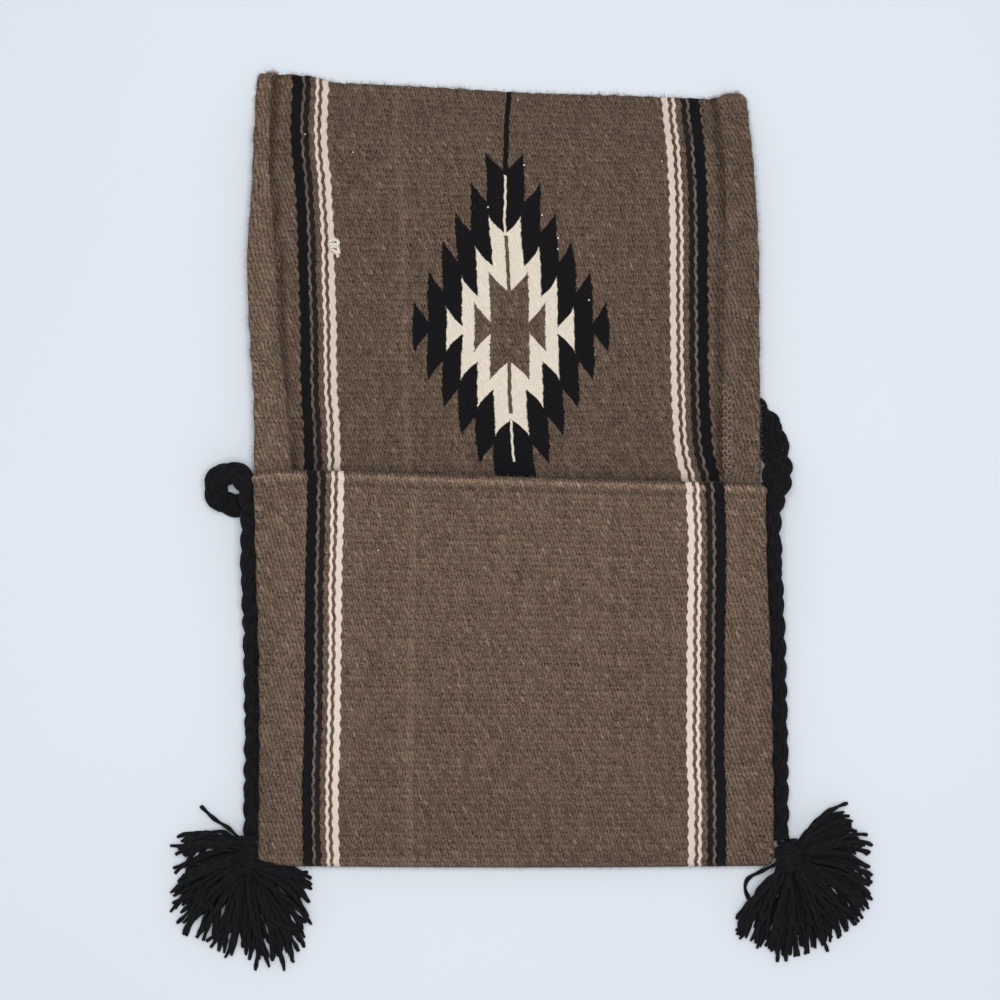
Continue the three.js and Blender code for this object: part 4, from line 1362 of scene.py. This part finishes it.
def strand_line(dice, number, direction, values):
    """The line of one strand of a fan: a random one near its number's share of the fan."""
    share = np.linspace(0, 1, STRAND_RINGS)
    start, end = direction[0], direction[-1]
    heading = start + (end - start) * (number + dice.uniform(*NUMBER_SCATTER)) / STRANDS_EACH
    heading = float(np.clip(heading, start - FAN_MARGIN, end + FAN_MARGIN))
    length, root_x, root_y = (np.interp(heading, direction, value) for value in values)
    length = length * (SHORTEST + LENGTH_RANGE * dice.uniform() ** LENGTH_POWER)
    layer = dice.uniform()
    bend = FALL * (DOWN - heading) * share**FALL_POWER + dice.normal(0, BEND) * share**BEND_POWER
    bend = bend + dice.normal(0, SWAY) * np.sin(share * dice.uniform(*SWAY_TURNS))
    angle = np.radians(heading - FIRST_TURN * (DOWN - heading) + bend)[1:]
    step = length / (STRAND_RINGS - 1)
    x = root_x + dice.normal(0, ROOT_SCATTER) + np.append(0, np.cumsum(np.cos(angle) * step))
    y = root_y + dice.normal(0, ROOT_SCATTER) + np.append(0, np.cumsum(np.sin(angle) * step))
    phase = share * dice.uniform(*WAVE_TURNS) + dice.uniform(*WAVE_STARTS)
    wave = STRAND_WAVE * np.sin(phase) * share
    z = LOWEST + layer * np.interp(share, *np.array(PILE).T) + wave
    return np.stack([x, y, np.maximum(z, LOWEST)], axis=1)


def fan_strands(seed, fan):
    """The lines of a tassel's strands; fan lists (direction in degrees, length, root x, root y)."""
    dice = np.random.default_rng(seed)
    direction, *values = np.array(fan, float).T
    return [strand_line(dice, number, direction, values) for number in range(STRANDS_EACH)]


LEFT_FAN = [
    (-195, 30, -138.5, -162), (-165, 36, -138.5, -166), (-145, 41, -138, -170), (-131, 46, -137.5, -173),
    (-120, 42, -137, -175), (-108, 43, -136, -177), (-93, 40, -135, -177), (-80, 45, -134, -177),
    (-70, 51, -133, -177), (-60, 46, -132, -177), (-48, 39, -131, -176), (-30, 31, -130.5, -174),
    (-8, 26, -130.5, -172),
]
RIGHT_FAN = [
    (-128, 40, 133, -173), (-115, 40, 134, -174), (-105, 42, 135, -174), (-92, 45, 136, -175),
    (-84, 46, 138, -175), (-75, 43, 139, -175), (-65, 44, 140, -174), (-45, 44, 141, -173),
    (-20, 40, 142, -171), (0, 36, 142, -168), (25, 32, 141.5, -166), (48, 34, 141, -165),
]
tassel_lines = {"left": fan_strands(41, LEFT_FAN), "right": fan_strands(42, RIGHT_FAN)}
print("Strands in each fan:", STRANDS_EACH)

# %% Tassel skirts
STRAYS = {
    "left": [
        [(-138, -160, 9), (-144, -154.5, 6), (-151, -150.5, 3), (-158.5, -143.8, 1.4)],
        [(-138, -161, 9), (-147, -156, 8), (-154, -157.5, 5), (-159.5, -163, 2.5), (-162, -168.5, 1.4)],
        [(-138, -162, 9), (-146, -158.5, 7.5), (-152, -161.5, 4.5), (-160, -166, 2), (-169, -167, 1.4)],
    ],
    "right": [
        [(131, -172, 8), (123.5, -176, 5), (116.5, -180.5, 2), (115.2, -185, 1.4), (118, -192.5, 1.4)],
        [(133, -173, 8), (125, -186, 5), (119, -199, 2.5), (110.5, -206.5, 1.4)],
        [(133, -173, 8), (126, -187, 4.5), (120.5, -198, 2.5), (113.5, -206.5, 1.4)],
    ],
}
STRAY_SPACING = 1.0
CUT_END = 0.75
strand_radii = np.full(STRAND_RINGS, STRAND_RADIUS)
strand_radii[[0, -1]] *= CUT_END
for label, lines in tassel_lines.items():
    lines = lines + [even_count(points, STRAY_SPACING, STRAND_RINGS) for points in STRAYS[label]]
    skirt = yarn_piece(
        "tassel_strands_" + label, lines, strand_radii, black_yarn, sides=8, ply=0.22
    )
    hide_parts("tassel_skirt_" + label)

# %% [markdown]
# ## Bindings
# A turn of binding yarn is a ring, so each one starts as a torus and is tilted in edit mode, as
# hand-wound turns are never quite level. A ball stretched into a barrel fills the middle.
# The turns and the barrel are then joined into one piece for each corner. The left one is a slim
# column, and the right one is wound to a round knob.

# %% Binding turns
BINDING_YARN = 1.3
BINDING_SINK = 0.3
BINDING_TURNS = 8
TILT, TWIST = 0.16, 0.2


def binding(label, seed, centre, half_length, radius, roundness):
    """The bound end of the plait: a barrel core and turns of yarn round it, in millimetres."""
    dice = np.random.default_rng(seed)
    x, y, z = (value * MM for value in centre)
    bpy.ops.mesh.primitive_uv_sphere_add(segments=24, ring_count=14, radius=radius * MM, location=(x, y, z))
    wound = [shaped(bpy.context.object, (1, half_length / radius, 1))]
    for number in range(BINDING_TURNS):
        share = 2 * (number + 0.5) / BINDING_TURNS - 1
        turn_radius = (radius - BINDING_SINK) * math.sqrt(1 - roundness * share**2)
        bpy.ops.mesh.primitive_torus_add(
            location=(x, y + share * half_length * MM, z), rotation=(math.radians(90), 0, 0),
            major_segments=36, minor_segments=8,
            major_radius=turn_radius * MM, minor_radius=BINDING_YARN * MM,
        )
        turns = [("X", dice.normal(0, TILT)), ("Z", dice.normal(0, TWIST))]
        wound.append(shaped(bpy.context.object, turns=turns))
    for turn in wound:
        for corner in turn.data.uv_layers["yarn"].data:
            corner.uv = (corner.uv[0] * 2 * math.pi * radius, corner.uv[1])
    whole = joined("tassel_binding_" + label, wound, black_yarn)
    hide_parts("tassel_knot_" + label)


binding("left", 49, (-134.2, -168.0, 7.2), 9.5, 4.4, 0.3)
binding("right", 51, (136.6, -168.0, 7.9), 7.0, 6.6, 0.8)
